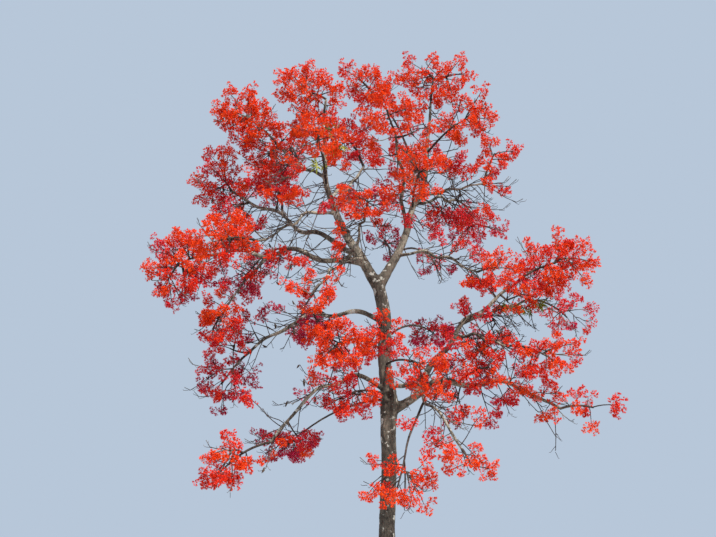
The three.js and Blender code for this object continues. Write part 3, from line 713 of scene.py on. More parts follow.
def stem_line(mass):
    """The stem arches from its limb to the middle of its mass."""
    foot = limbs[mass["on"]]["line"](mass.get("at", 1))
    heart = np.array(mass["centre"])
    top = (foot + heart) / 2 + UP * math.dist(foot, heart) * STEM_ARCH
    return bezier(foot, top, heart)


def grow_mass(mass, number, others):
    """A mass's stem, twigs and sprays. Each spray hangs on the free bud nearest its end."""
    stem = dict(line=stem_line(mass), parent=None, load=1)
    twigs, sprays = [], []
    buds = buds_along(stem, STEM_BARE, BUD_SPACING, STEM_LAST_BUD, STEM_FEWEST)
    wide, deep, high = mass["half"]
    room = wide * deep + deep * high + high * wide
    wanted = math.floor(SPRAYS_PER_SQUARE_METRE * mass["full"] * room + 0.5)
    for step in range(wanted * MAX_TRIES):
        if len(sprays) == wanted or not buds:
            break
        end = place_in_mass(number, step, SHELL)
        bud, far = nearest_bud(buds, end)
        if far <= SPRAY_SHORTEST:
            continue
        root, own = bud["at"], NO_BEADS
        if far > SPRAY_LONGEST:
            root = bud["at"] + (end - bud["at"]) * (1 - SPRAY_LONGEST * LAST_STRETCH / far)
            root = root + UP * math.dist(bud["at"], root) * TWIG_LIFT
            own = beads_along(bud["at"], root, TWIG_ROOM, TWIG_ROOM)
        beads = spray_beads(root, end)
        slim = slimmer(beads)
        if any(touches(slim, spray["slim"]) or touches(own, spray["slim"]) for spray in sprays):
            continue
        if any(twig is not bud["twig"] and touches(slim, twig["beads"]) for twig in twigs):
            continue
        all_beads = np.concatenate([beads, own])
        if not keeps_to_space(number, all_beads[:, :3]) or touches(all_beads, limb_beads):
            continue
        if touches(all_beads, others):
            continue
        buds = without(buds, bud)
        parent = bud["twig"]
        if len(own):
            twig = dict(line=bezier(bud["at"], root), parent=parent, beads=own, load=0)
            twigs.append(twig)
            buds = away_from(buds + buds_along(twig, TWIG_BARE, BUD_SPACING), root)
            parent = twig
        sprays.append(dict(root=root, end=end, beads=beads, slim=slim, parent=parent, mass=number))
    return dict(stem=stem, twigs=twigs, sprays=sprays, buds=buds)


limb_beads = np.concatenate(
    [beads_on(limb["line"], limb["radius"], LIMB_PARTS) for limb in limbs.values()]
)
all_stem_beads = [
    beads_on(stem_line(mass), lambda share: STEM_ROOM, STEM_PARTS) for mass in MASSES.values()
]
placed = NO_BEADS
grown_masses = []
for number, mass in enumerate(MASSES.values()):
    stems = [beads for other, beads in enumerate(all_stem_beads) if other != number]
    others = np.concatenate([*stems, placed])
    grown = grow_mass(mass, number, others)
    grown_masses.append(grown)
    placed = np.concatenate([placed, *(piece["beads"] for piece in grown["twigs"] + grown["sprays"])])

# Slimmer side twigs leave the outer part of every bough and fill the room between the masses.
# They grow by nearly the same rule, with a spray at each end. What would leave the crown, touch
# a limb, crowd other sprays or close the open heart of the crown is skipped.
SIDE_TWIGS = {  # how many a bough carries, and the share of it next to its foot without any
    "left_leader": (16, 0.36), "right_leader": (24, 0.36), "low_right_bough": (30, 0.24),
    "rising_right_bough": (22, 0.60), "right_middle_bough": (8, 0.45), "right_shelf_bough": (9, 0.3),
    "front_right_bough": (8, 0.45), "long_left_bough": (16, 0.25), "lower_left_bough": (18, 0.5),
    "far_left_bough": (18, 0.55), "left_front_bough": (10, 0.4), "left_middle_bough": (18, 0.55),
    "upper_left_bough": (16, 0.35), "inner_front_bough": (5, 0.5), "short_left_bough": (5, 0.45),
    "front_crown_bough": (16, 0.3), "back_crown_bough": (12, 0.3), "upper_right_bough": (10, 0.4),
    "back_right_bough": (8, 0.4), "right_front_bough": (7, 0.5),
}
SIDE_BUDS, SIDE_LAST_BUD, SIDE_TRIES = 0.11, 0.97, 24
SIDE_PATTERN, SIDE_SHELL = 60, 0.10
SIDE_REACH = 1.15  # how far from its bough a side spray may end
SIDE_SPRAY, SIDE_TWIG_SHORTEST = 0.60, 0.12
SIDE_SHORTEST, SIDE_LONGEST = 0.40, 1.20  # from its bud to its end
SIDE_RISE, SIDE_BOW = (-0.18, 0.12), (-0.15, 0.15)  # of its middle, against its length
SIDE_OVERLAP, THIN_OVERLAP = 0.62, 0.45  # how much of its size a side spray keeps clear of others
SIDE_CLEAR = 0.16  # next to its bud, a side twig needn't keep clear of its own bough
MORE_PER_MASS, MORE_BUDS = 6, 3  # more sprays in the gaps of a full mass, and the buds they need
MORE_PATTERN, MORE_SHELL = 90, 0.15
CROWN_HEART, OPEN_HEART = np.array([-0.2, 0.2, 9.3]), 1.75
WITHIN = math.cos(math.radians(31))  # masses this near its direction bound how far a twig may go
RIM_SHARE = 0.35

mass_ways = mass_centres - CROWN_HEART
mass_reach = np.linalg.norm(mass_ways, axis=1) + RIM_SHARE * mass_halves.mean(axis=1)
mass_ways = unit(mass_ways)
luck = 0.0


def next_luck():
    """One number from 0 to 1 after another, evenly spread."""
    global luck
    luck = (luck + GOLDEN) % 1
    return luck


def lucky(low, high):
    return low + (high - low) * next_luck()


def in_crown(point):
    way = point - CROWN_HEART
    away = np.linalg.norm(way)
    beside = mass_ways @ (way / away) > WITHIN
    return away > OPEN_HEART and bool((mass_reach[beside] > away).any())


# Seen by the camera the crown is open in these places, where only bare limbs and a few small
# clusters cross the sky. Each is an oval in the picture: its middle from the top left corner,
# then half its width and half its height, in pixels.
PICTURE_WIDTH, PICTURE_HEIGHT = 716, 537
OPEN_PLACES = {
    "inside_fork": (362, 250, 22, 34),
    "right_of_fork": (428, 285, 34, 46),
    "left_of_fork": (352, 292, 18, 26),
    "left_of_left_leader": (300, 226, 36, 30),
    "left_of_leader_higher": (314, 180, 16, 20),
    "left_of_leader_highest": (309, 147, 18, 12),
    "under_far_left_bough": (290, 290, 34, 22),
    "inside_far_left_bough": (231, 263, 22, 17),
    "inside_left_middle_bough": (259, 204, 16, 13),
    "over_lower_left_bough": (275, 362, 36, 26),
    "under_short_left_bough": (272, 324, 30, 17),
    "end_of_lower_left_bough": (228, 352, 14, 10),
    "under_lower_left_bough": (232, 410, 17, 13),
    "over_long_left_bough": (285, 416, 50, 17),
    "end_of_long_left_bough": (206, 442, 12, 10),
    "between_leaders": (365, 177, 24, 16),
    "between_leaders_low": (358, 206, 10, 10),
    "between_leaders_left": (330, 165, 13, 9),
    "between_leaders_high": (346, 149, 9, 8),
    "left_of_right_leader": (408, 206, 19, 15),
    "right_of_right_leader": (438, 178, 14, 14),
    "under_upper_right_bough": (462, 192, 36, 20),
    "end_of_upper_right_bough": (506, 176, 12, 11),
    "over_upper_right_bough": (470, 135, 12, 10),
    "over_right_front_bough": (455, 262, 18, 14),
    "under_right_front_bough": (478, 298, 12, 11),
    "left_of_rising_bough": (504, 300, 14, 10),
    "over_shelf_bough": (485, 324, 32, 13),
    "over_shelf_end": (545, 326, 48, 14),
    "under_low_right_end": (580, 410, 32, 14),
    "right_of_hub": (412, 410, 14, 13),
    "under_low_right_bough": (445, 412, 16, 13),
    "under_low_right_middle": (550, 436, 34, 15),
    "right_of_trunk_low": (415, 508, 15, 13),
}
KEPT_IN_THE_OPEN = 0.20

open_middles = np.array(list(OPEN_PLACES.values()))[:, :2]
open_halves = np.array(list(OPEN_PLACES.values()))[:, 2:]


def in_the_open(point):
    tilt = math.atan(UPWARD_SLOPE)
    across, ahead, above = point - np.array(EYE)
    far = ahead * math.cos(tilt) + above * math.sin(tilt)
    high = above * math.cos(tilt) - ahead * math.sin(tilt)
    pixels = LENS / SENSOR_WIDTH * PICTURE_WIDTH / far
    seen = np.array([PICTURE_WIDTH / 2 + across * pixels, PICTURE_HEIGHT / 2 - high * pixels])
    return bool((np.linalg.norm((seen - open_middles) / open_halves, axis=1) < 1).any())


def bent(start, end, rise, sideways):
    """A twig's bowed line. rise and sideways are against its length."""
    across = np.cross(unit(end - start), UP)
    middle = (start + end) / 2 + (UP * rise + across * sideways) * math.dist(start, end)
    return bezier(start, middle, end)


side_twigs, side_sprays = [], []


def side_growth(buds, goal, mass=None, in_thin_place=False):
    """Grows one twig with a spray at its end towards a goal, if there is room for it."""
    global placed
    bud, far = nearest_bud(buds, goal)
    if not SIDE_SHORTEST < far < SIDE_LONGEST or in_the_open(goal):
        return False
    stretch = max(far - SIDE_SPRAY, SIDE_TWIG_SHORTEST)
    root = bud["at"] + (goal - bud["at"]) * stretch / far
    own = beads_along(bud["at"], root, TWIG_ROOM / 2, TWIG_ROOM / 2)
    beads = np.concatenate([spray_beads(root, goal), own])
    clear = beads[np.linalg.norm(beads[:, :3] - bud["at"], axis=1) > SIDE_CLEAR]
    overlap = THIN_OVERLAP if in_thin_place else SIDE_OVERLAP
    if touches(clear, limb_beads) or touches(slimmer(clear, overlap), placed):
        return False
    parent = None if bud["twig"].get("limb") else bud["twig"]
    line = bent(bud["at"], root, lucky(*SIDE_RISE), lucky(*SIDE_BOW))
    twig = dict(line=line, parent=parent, load=0)
    side_twigs.append(twig)
    side_sprays.append(dict(root=root, end=goal, parent=twig, mass=mass, in_thin_place=in_thin_place))
    buds[:] = without(buds, bud) + buds_along(twig, TWIG_BARE, BUD_SPACING)[1:]
    placed = np.concatenate([placed, beads])
    return True


for number, (mass, grown) in enumerate(zip(MASSES.values(), grown_masses)):
    wanted, made = math.floor(MORE_PER_MASS * mass["full"] + 0.5), 0
    for step in range(wanted * SIDE_TRIES):
        if made == wanted or len(grown["buds"]) < MORE_BUDS:
            break
        goal = place_in_mass(number, step, MORE_SHELL, MORE_PATTERN)
        if keeps_to_space(number, goal[None]):
            made += side_growth(grown["buds"], goal, number)
spare_buds = [bud for grown in grown_masses for bud in grown["buds"]]
for number, (name, (wanted, bare)) in enumerate(SIDE_TWIGS.items()):
    line, made = limbs[name]["line"], 0
    buds = buds_along(dict(line=line, limb=True), bare, SIDE_BUDS, SIDE_LAST_BUD)
    for step in range(wanted * SIDE_TRIES):
        if made == wanted or not buds:
            break
        along = bare + (1 - bare) * (step * GOLDEN % 1)
        goal = line(along) + scattered(number + SIDE_PATTERN, step, SIDE_SHELL) * SIDE_REACH
        if in_crown(goal):
            made += side_growth(buds, goal)
    spare_buds += buds

# The crown would be left thin in a few places, so up to three more sprays head for each.
THIN_PLACES = np.array([
    (-4.4, 0.9, 12.6), (-5.1, 0.0, 10.2), (-4.2, -0.6, 8.5), (-4.3, 0.9, 7.4), (3.6, -0.4, 9.9),
    (4.3, -0.4, 10.0), (-0.7, -2.6, 3.5), (0.0, -2.0, 6.9), (-1.3, -2.6, 6.7), (-0.9, 1.0, 14.0),
    (-0.2, 0.4, 14.0), (0.3, -1.2, 13.1),
])
PER_THIN_PLACE, THIN_SPREAD = 3, 0.36
THIN_PATTERN, THIN_SHELL = 110, 0.02

for number, place in enumerate(THIN_PLACES):
    made = 0
    for step in range(PER_THIN_PLACE * SIDE_TRIES):
        if made == PER_THIN_PLACE:
            break
        goal = place + scattered(number + THIN_PATTERN, step, THIN_SHELL) * THIN_SPREAD
        made += side_growth(spare_buds, goal, in_thin_place=True)

# Each spray is a forked shoot with red flower clusters at its ends. The rule that set the
# sprays is carried one step finer: clusters scatter through the spray's own egg-shaped space
# and each grows from the nearest free bud, on a thin shoot where that is far off.
SHOOT_SHARE = 0.62  # how far the shoot runs along its spray
SHOOT_RISE, SHOOT_BOW = 0.10, (-0.10, 0.10)  # of its middle, against its length
SHOOT_BARE, SHOOT_FEWEST = 0.12, 6
FINER_DROP, FINER_BARE = 0.10, 0.3  # the thin shoots that it carries sag, and begin to bud later
EGG = np.array([0.43, 0.40, 0.42])  # half sizes of a spray's space, against its length
EGG_MIDDLE = 0.66
REACH_OUT, REACH_IN = 1.02, 1.30  # how far from its mass's middle, outwards and inwards
CLUSTER_LONGEST, CLUSTER_SHORTEST = 0.30, 0.11
CLUSTERS_PER_SQUARE_METRE, FEWEST_CLUSTERS = 11.1, 3  # of a spray's length squared
CLUSTER_SHELL, CLUSTER_TRIES = 0.08, 12
CLUSTER_BUDS = 0.032
CLUSTER_ROOM = np.array([[0.5, 0.05], [1.0, 0.02]])  # how far along, and how clear of limbs
NEARLY_UPRIGHT = 0.95
blooms = [mass.get("bloom", 1.0) for mass in MASSES.values()]

IN_BOX = 0.03  # how far inside the CAD model's box a cluster or a bare shoot ends
LOW, HIGH = np.array(cad_box)

clusters, shoots = [], []


def egg_axes(root, end):
    """Level, lifted and forward directions of a spray, as rows."""
    forward = unit(end - root)
    level = level_beside(forward, NEARLY_UPRIGHT)
    return np.array([level, np.cross(level, forward), forward])


def out_of_box(point):
    return bool((point < LOW + IN_BOX).any() or (point > HIGH - IN_BOX).any())


def in_reach(spray, goal, ways):
    if out_of_box(goal):
        return False
    number = spray["mass"]
    if number is None:
        return spray["in_thin_place"] or in_crown(goal)
    off = goal - mass_centres[number]
    outwards = 0.5 + 0.5 * float(mass_ways[number] @ unit(off))
    limit = REACH_IN + (REACH_OUT - REACH_IN) * outwards
    return np.linalg.norm(off / mass_halves[number]) < limit and keeps_to_space(number, ways)


def flower(spray, seed):
    """Grows one spray's forked shoot and its flower clusters."""
    root, end = spray["root"], spray["end"]
    length = math.dist(root, end)
    axes = egg_axes(root, end)
    tip = root + (end - root) * SHOOT_SHARE
    shoot = dict(line=bent(root, tip, SHOOT_RISE, lucky(*SHOOT_BOW)), parent=spray["parent"], load=0)
    shoots.append(shoot)
    buds = buds_along(shoot, SHOOT_BARE, CLUSTER_BUDS, fewest=SHOOT_FEWEST)
    middle = root + (end - root) * EGG_MIDDLE
    bloom = 1.0 if spray["mass"] is None else blooms[spray["mass"]]
    wanted = math.floor(CLUSTERS_PER_SQUARE_METRE * bloom * length * length + 0.5)
    wanted = max(FEWEST_CLUSTERS, wanted)
    made = 0
    for step in range(wanted * CLUSTER_TRIES):
        if made == wanted or not buds:
            break
        goal = middle + (scattered(seed, step, CLUSTER_SHELL) * EGG * length) @ axes
        bud, far = nearest_bud(buds, goal)
        if far < CLUSTER_SHORTEST:
            continue
        inner = bud["at"] + (goal - bud["at"]) * max(0.0, 1 - CLUSTER_LONGEST / far)
        ways = inner + (goal - inner) * CLUSTER_ROOM[:, :1]
        if not in_reach(spray, goal, ways):
            continue
        if touches(np.hstack([ways, CLUSTER_ROOM[:, 1:]]), limb_beads):
            continue
        if in_the_open(goal) and next_luck() > KEPT_IN_THE_OPEN:
            continue
        buds = without(buds, bud)
        parent = shoot
        if far > CLUSTER_LONGEST:
            line = bent(bud["at"], inner, -FINER_DROP, lucky(*SHOOT_BOW))
            parent = dict(line=line, parent=shoot, load=0)
            shoots.append(parent)
            buds = away_from(buds + buds_along(parent, FINER_BARE, CLUSTER_BUDS), inner)
        clusters.append(dict(foot=inner, end=goal, spray=seed))
        made += 1
        while parent is not None:
            parent["load"] += 1
            parent = parent["parent"]


sprays = [spray for grown in grown_masses for spray in grown["sprays"]] + side_sprays
for seed, spray in enumerate(sprays):
    flower(spray, seed)

# Many thin dark shoots are bare this season. They leave boughs, stems and twigs all through the
# crown, hang in an arch and turn up at their tips, each with a few short side shoots.
BARE_PER_MASS, BARE_PER_BOUGH = 8, 20
MASS_TRIES, BOUGH_TRIES = 4, 5  # for each bare shoot
MASS_PATTERN, BOUGH_PATTERN = 50, 130
MASS_SHELL, BOUGH_SHELL = 0.1, 0.5
MASS_BUDS = 4  # a mass with fewer free buds has no more bare shoots
BARE_SHORTEST, BARE_LONGEST = 0.28, 1.15
BARE_FROM = 0.2  # the share of a bough next to its foot without them
OUTWARD_SHARE, CHANCE_SHARE, HANG_SHARE = 0.75, 0.8, 0.30  # of a bare shoot's way
HEART_CLEAR, TIP_CLEAR = 1.0, 0.03  # how clear its end is of the crown's heart and of limbs
ARCH = ((0.35, 0.10), (0.85, -0.26))  # the arch's inner points: how far along, and how high
ARCH_TIP = 0.10
FORKS = ((0.45, 1), (0.66, -1), (0.84, 1))  # where a side shoot leaves, and to which side
FORK_LENGTH, FORK_SHRINK, FORK_LUCK = 0.34, 1.3, (0.7, 1.3)  # against the shoot
FORK_SPREAD, FORK_LIFT, FORK_BACK = 0.75, 0.3, 0.05
SHOOT_LOAD, FORK_LOAD = 4.0, 1.3  # as thick as this many clusters would make them

bare_shoots = []


def hanging(start, end):
    """An arch that sinks on its way and turns up at its tip."""
    far = math.dist(start, end)
    way = (end - start) / far
    inner = [start + (way * along + UP * high) * far for along, high in ARCH]
    return bezier(start, *inner, end + UP * ARCH_TIP * far)


def bare_shoot(start, goal):
    """Grows a bare shoot and its side shoots towards a goal, if there is room for it."""
    far = math.dist(start, goal)
    if far < BARE_SHORTEST or touches(np.array([[*goal, TIP_CLEAR]]), limb_beads):
        return False
    end = start + (goal - start) * min(1.0, BARE_LONGEST / far)
    if out_of_box(end):
        return False
    line = hanging(start, end)
    bare_shoots.append(dict(line=line, load=SHOOT_LOAD))
    far = math.dist(start, end)
    across = unit(np.cross(end - start, UP))
    for share, hand in FORKS:
        foot = line(share)
        onward = unit(foot - line(share - FORK_BACK))
        way = unit(onward + across * hand * FORK_SPREAD + UP * lucky(0, FORK_LIFT))
        tip = foot + way * far * FORK_LENGTH * (FORK_SHRINK - share) * lucky(*FORK_LUCK)
        bare_shoots.append(dict(line=hanging(foot, tip), load=FORK_LOAD))
    return True


for number, grown in enumerate(grown_masses):
    free, made = list(grown["buds"]), 0
    for step in range(BARE_PER_MASS * MASS_TRIES):
        if len(free) < MASS_BUDS or made == BARE_PER_MASS:
            break
        goal = place_in_mass(number, step, MASS_SHELL, MASS_PATTERN)
        bud, far = nearest_bud(free, goal)
        if keeps_to_space(number, goal[None]) and bare_shoot(bud["at"], goal):
            free = without(free, bud)
            made += 1
bough_shoots = {}
for number, name in enumerate(SIDE_TWIGS):
    line, bough_shoots[name] = limbs[name]["line"], []
    for step in range(BARE_PER_BOUGH * BOUGH_TRIES):
        if len(bough_shoots[name]) == BARE_PER_BOUGH:
            break
        along = BARE_FROM + (1 - BARE_FROM) * ((step + 0.5) * GOLDEN % 1)
        start = line(along)
        outward = unit((start - CROWN_HEART) * (RIGHT + BACK)) * OUTWARD_SHARE
        chance = scattered(number + BOUGH_PATTERN, step, BOUGH_SHELL) * CHANCE_SHARE
        goal = start + unit(outward + chance - UP * HANG_SHARE) * lucky(BARE_LONGEST / 2, BARE_LONGEST)
        if np.linalg.norm(goal - CROWN_HEART) > HEART_CLEAR and bare_shoot(start, goal):
            bough_shoots[name].append(bare_shoots[-1 - len(FORKS)])

# Twigs carry bark like the boughs', but smoother and browner. Each is a tapered tube that
# starts inside what carries it, as thick as the clusters beyond it need.
FINE_RADIUS, THICKEST = 0.0064, 0.030
TWIG_TAPER = 0.62  # its tip against its foot
TWIG_BOW = 0.08
TWIG_DARK, TWIG_BROWN = (0.028, 0.019, 0.017), (0.082, 0.060, 0.050)
TWIG_DUN, TWIG_PALE = (0.10, 0.080, 0.064), (0.30, 0.25, 0.20)


def twig_tubes(twigs, rings, sides, bow=0.0):
    share = np.linspace(0, 1, rings)
    paths, radii = [], []
    for twig in twigs:
        path = twig["line"](share)
        rise = bow * math.dist(path[0], path[-1]) * np.sin(math.pi * share)
        paths.append(path + UP * rise[:, None])
        foot_radius = min(FINE_RADIUS * math.sqrt(max(twig["load"], 1)), THICKEST)
        radii.append(foot_radius * (1 + (TWIG_TAPER - 1) * share))
    return tubes(sway(np.array(paths)), np.array(radii), sides)


mass_stems = [grown["stem"] for grown in grown_masses]
mass_twigs = [twig for grown in grown_masses for twig in grown["twigs"]]
twigs = mesh_object(
    "twigs",
    *gathered([
        twig_tubes(mass_stems, rings=12, sides=8),
        twig_tubes(mass_twigs, rings=6, sides=6, bow=TWIG_BOW),
        twig_tubes(side_twigs, rings=7, sides=5),
        twig_tubes(shoots, rings=5, sides=3),
        twig_tubes(bare_shoots, rings=5, sides=3),
    ]),
)
twig_finish, twig_nodes, twig_shader = new_material("twig_bark", roughness=0.85, shine=0.20)
twig_grain = speckle(twig_nodes, scale=22.0, stretch=(1, 1, 0.5), detail=5.0)
twig_patches = speckle(twig_nodes, scale=1.3, detail=3.0, low=0.52, high=0.66)
twig_tone = blended(
    twig_nodes, twig_patches, blended(twig_nodes, twig_grain, TWIG_DARK, TWIG_BROWN),
    blended(twig_nodes, twig_grain, TWIG_DUN, TWIG_PALE),
)
twig_nodes.links.new(twig_tone, twig_shader.inputs["Base Color"])
raised(twig_nodes, twig_shader, twig_grain, strength=0.4, distance=0.002)
twigs.data.materials.append(twig_finish)
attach(twigs, "root")
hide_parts(*MASSES)

# A flower cluster is a loose red stalk with side stalks all round it, each of which carries
# small five-lobed bells. The stalks are red like the bells, thin and a little waxy. The bells
# stand larger than life, so that this many fill the crown as far more do on the real tree.
SIDE_STALKS, BELLS_PER_STALK, END_BELLS = 6, 5, 4
STALK_RADIUS, STALK_TAPER, STALK_SIDES = 0.0034, 0.5, 3
STALK_DROOP = 0.06  # of its middle, against its length
SIDE_RADIUS, SIDE_TAPER = 0.0022, 0.6
SIDE_LENGTH = (0.12, 0.07)  # at the foot and at the end of the cluster
SIDE_FROM, SIDE_SPAN, SIDE_JITTER = 0.12, 0.80, 0.3  # where side stalks leave the main stalk
SIDE_FIRST, SIDE_LAST = 0.05, 0.97
SIDE_TILT, LOOSENESS = math.radians(58), (0.75, 1.2)
BELLS_BACK = 0.70  # how far back from a side stalk's tip its bells begin
BELL_OFF, BELL_ONWARD = (0.006, 0.020), (3.0, 1.2)  # at its tip, and further back
BELL_HANG, END_BELL_OFF = 0.20, 0.030
STALK_TONES = (0.44, 0.035, 0.035), (0.68, 0.10, 0.09)
FLOWER_SEED = 7

dice = np.random.default_rng(FLOWER_SEED)
foot = sway(np.array([cluster["foot"] for cluster in clusters]))
end = sway(np.array([cluster["end"] for cluster in clusters]))
length = np.linalg.norm(end - foot, axis=1)[:, None]
forward = unit(end - foot)
level = level_beside(forward, NEARLY_UPRIGHT)
lifted = np.cross(level, forward)
start_turn = dice.uniform(0, 2 * math.pi, len(clusters))


def on_stalk(share):
    """The place on each cluster's drooping main stalk at a share along it."""
    return foot + (end - foot) * share - STALK_DROOP * np.sin(math.pi * share) * length * UP


def two_tone(name, roughness, scale, tones, detail=6.0, shine=0.5):
    """A finish that drifts between two tones."""
    material, tree, shader = new_material(name, roughness, shine)
    tree.links.new(blended(tree, speckle(tree, scale, detail=detail), *tones), shader.inputs["Base Color"])
    return material


main_shares = np.array([0, 0.5, 1])
main_paths = np.stack([on_stalk(share) for share in main_shares], axis=1)
main_radii = np.broadcast_to(STALK_RADIUS * (1 - (1 - STALK_TAPER) * main_shares), main_paths.shape[:2])
stalk_parts = [tubes(main_paths, main_radii, STALK_SIDES)]
bell_spots, bell_ways = [], []
for i in range(SIDE_STALKS):
    jitter = dice.uniform(-SIDE_JITTER, SIDE_JITTER, len(clusters))
    share = SIDE_FROM + SIDE_SPAN * (i + jitter) / (SIDE_STALKS - 1)
    share = np.clip(share, SIDE_FIRST, SIDE_LAST)[:, None]
    turn = (start_turn + GOLDEN_TURN * i)[:, None]
    spread = level * np.cos(turn) + lifted * np.sin(turn)
    tilt = SIDE_TILT * dice.uniform(*LOOSENESS, share.shape)
    way = forward * np.cos(tilt) + spread * np.sin(tilt)
    reach = SIDE_LENGTH[0] + (SIDE_LENGTH[1] - SIDE_LENGTH[0]) * share
    reach = reach * dice.uniform(*LOOSENESS, share.shape)
    base = on_stalk(share)
    side_path = np.stack([base, base + way * reach], axis=1)
    side_radii = np.broadcast_to([SIDE_RADIUS, SIDE_RADIUS * SIDE_TAPER], side_path.shape[:2])
    stalk_parts.append(tubes(side_path, side_radii, STALK_SIDES))
    for j in range(BELLS_PER_STALK):
        along = 1.0 - BELLS_BACK * j / BELLS_PER_STALK
        further_back = int(j > 0)
        loose = unit(dice.normal(size=way.shape))
        off = unit(loose - (loose * way).sum(1, keepdims=True) * way)
        bell_spots.append(base + way * reach * along + off * BELL_OFF[further_back])
        bell_ways.append(unit(off + way * BELL_ONWARD[further_back] - UP * BELL_HANG))
for i in range(END_BELLS):
    loose = unit(dice.normal(size=forward.shape))
    bell_spots.append(end + loose * END_BELL_OFF)
    bell_ways.append(unit(forward + loose))

stalks = mesh_object("flower_stalks", *gathered(stalk_parts))
stalks.data.materials.append(two_tone("red_stalk", 0.5, 3.0, STALK_TONES, shine=0.10))
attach(stalks, "root")
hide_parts(*MASSES)

# The bells are small soft flowers, closed at the stalk and parted into five pointed lobes.
# Their colour is dealt out by cluster as painted light: orange and scarlet, standing for sunlit blossom,
# at the rim of the crown and towards the sunward side, and red and crimson, standing for shaded blossom,
# further in. Clusters of one spray share their luck.
LOBES = 5
HALF_OPEN = dict(waist=0.36, waist_depth=0.50, tip=0.44, depth=0.96, turn=math.radians(62))
WIDE_OPEN = dict(waist=0.26, waist_depth=0.42, tip=0.54, depth=0.88, turn=math.radians(46))
BELL_SIZE, BELL_SIZES = 0.051, (0.8, 1.2)
MOST_BELLS = 38000  # in one piece, one face for each lobe
PAINTED_SUN_SIDE = unit(np.array([0.05, -0.83, 0.50]))
CROWN_MIDDLE = np.array([-0.4, 0.3, 9.2])
CROWN_HALF = np.array([5.2, 3.8, 5.6])
PAINTED_RIM_LIGHT_WEIGHT, PAINTED_SUN_WEIGHT, LUCK_WEIGHT = 0.6, 0.75, 0.6
TONES = {  # slot, and the deep and light tone of its bells, from the shade to the sun
    "blossom_crimson": ((0.46, 0.014, 0.050), (0.64, 0.030, 0.090)),
    "blossom_red": ((0.64, 0.018, 0.026), (0.80, 0.036, 0.046)),
    "blossom_scarlet": ((0.72, 0.024, 0.010), (0.86, 0.052, 0.018)),
    "blossom_orange": ((0.80, 0.042, 0.008), (0.92, 0.094, 0.012)),
}
TONE_STEPS = (0.10, 0.30, 0.60)  # the shares of all clusters where one tone follows another

lobe_turn = np.arange(LOBES) * 2 * math.pi / LOBES
bell_faces = np.array([[0, 1 + i, 1 + LOBES + i] for i in range(LOBES)])


def bell(waist, waist_depth, tip, depth, turn):
    """The closed end of a bell, then one side and the tip of each lobe, against its size."""
    rings = [
        np.stack([np.cos(at) * wide, np.sin(at) * wide, np.full(LOBES, deep)], axis=1)
        for at, wide, deep in ((lobe_turn, waist, waist_depth), (lobe_turn + turn, tip, depth))
    ]
    return np.concatenate([np.zeros((1, 3)), *rings])


def copies(shape, shape_faces, spots, ways, size, sizes):
    """Copies of a small shape that stand at spots, with the shape's own z along ways."""
    spins = dice.uniform(0, 2 * math.pi, len(spots))
    scales = size * dice.uniform(*sizes, len(spots))
    side = level_beside(ways)
    turned = side * np.cos(spins)[:, None] + np.cross(ways, side) * np.sin(spins)[:, None]
    frames = np.stack([turned, np.cross(ways, turned), ways], axis=1)
    corners = spots[:, None] + np.einsum("vk,nkc->nvc", shape, frames) * scales[:, None, None]
    faces = shape_faces[None] + (np.arange(len(spots)) * len(shape))[:, None, None]
    return corners.reshape(-1, 3), [faces.reshape(-1, shape_faces.shape[1])]


spots, ways = np.stack(bell_spots, axis=1), np.stack(bell_ways, axis=1)
bells_per_cluster = spots.shape[1]
spray_of = np.array([cluster["spray"] for cluster in clusters])
# Painted light and shade: a cluster's rank rises towards the crown's rim and its sunward side, so the
# orange and scarlet bells go there as painted sunlight and the red and crimson bells go inside and at the
# back as painted shade, mixed a little by luck.
place = ((foot + end) / 2 - CROWN_MIDDLE) / CROWN_HALF
painted_light_rank = PAINTED_RIM_LIGHT_WEIGHT * np.linalg.norm(place, axis=1) + PAINTED_SUN_WEIGHT * (place @ PAINTED_SUN_SIDE)
painted_light_rank = painted_light_rank + LUCK_WEIGHT * ((spray_of * GOLDEN) % 1)
standing = np.argsort(np.argsort(painted_light_rank)) / len(painted_light_rank)
colour = np.digitize(standing, TONE_STEPS)

for tone, (slot, tones) in enumerate(TONES.items()):
    mine = np.flatnonzero(colour == tone)
    petals = two_tone(slot.replace("blossom", "petals"), 0.5, 4.0, tones, detail=3.0, shine=0.06)
    pieces = math.ceil(len(mine) * bells_per_cluster / MOST_BELLS)
    for part, chosen in enumerate(np.array_split(mine, pieces)):
        both = []
        for first, shape in enumerate((bell(**WIDE_OPEN), bell(**HALF_OPEN))):
            at, way = (rows[chosen][:, first::2].reshape(-1, 3) for rows in (spots, ways))
            both.append(copies(shape, bell_faces, at, way, BELL_SIZE, BELL_SIZES))
        piece = mesh_object(f"{slot.replace('_', '_bells_')}_{part + 1}", *gathered(both))
        piece.data.materials.append(petals)
        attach(piece, "root")
        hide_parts(*MASSES)

# A few yellow-green leaves have opened early, in tufts on short twigs of their own. Each is
# thin, with five long lobes like the fingers of a hand, and hangs a little at its tips.
LEAF_TUFTS = (  # the limb, the share along it, the way of the tuft's twig and how many leaves
    ("left_leader", 0.66, (-0.35, -0.90, 0.25), 8),
    ("left_leader", 0.74, (0.75, -0.65, 0.15), 7),
    ("left_leader", 0.80, (0.60, -0.75, 0.45), 6),
    ("right_middle_bough", 0.55, (0.30, -0.90, -0.10), 9),
    ("right_middle_bough", 0.72, (0.50, -0.85, -0.30), 11),
    ("right_middle_bough", 0.90, (0.65, -0.70, -0.40), 10),
)
LEAF_TWIG, LEAF_TWIG_RADIUS, LEAF_TWIG_RINGS, LEAF_TWIG_SIDES = 0.42, 0.006, 6, 4
LEAF_SIZE, LEAF_SIZES = 0.20, (0.7, 1.25)
LEAVES_FROM = 0.35  # the share of its twig where a tuft begins
LEAF_SPREAD, LEAF_OFF = 0.17, (0.1, 0.9)
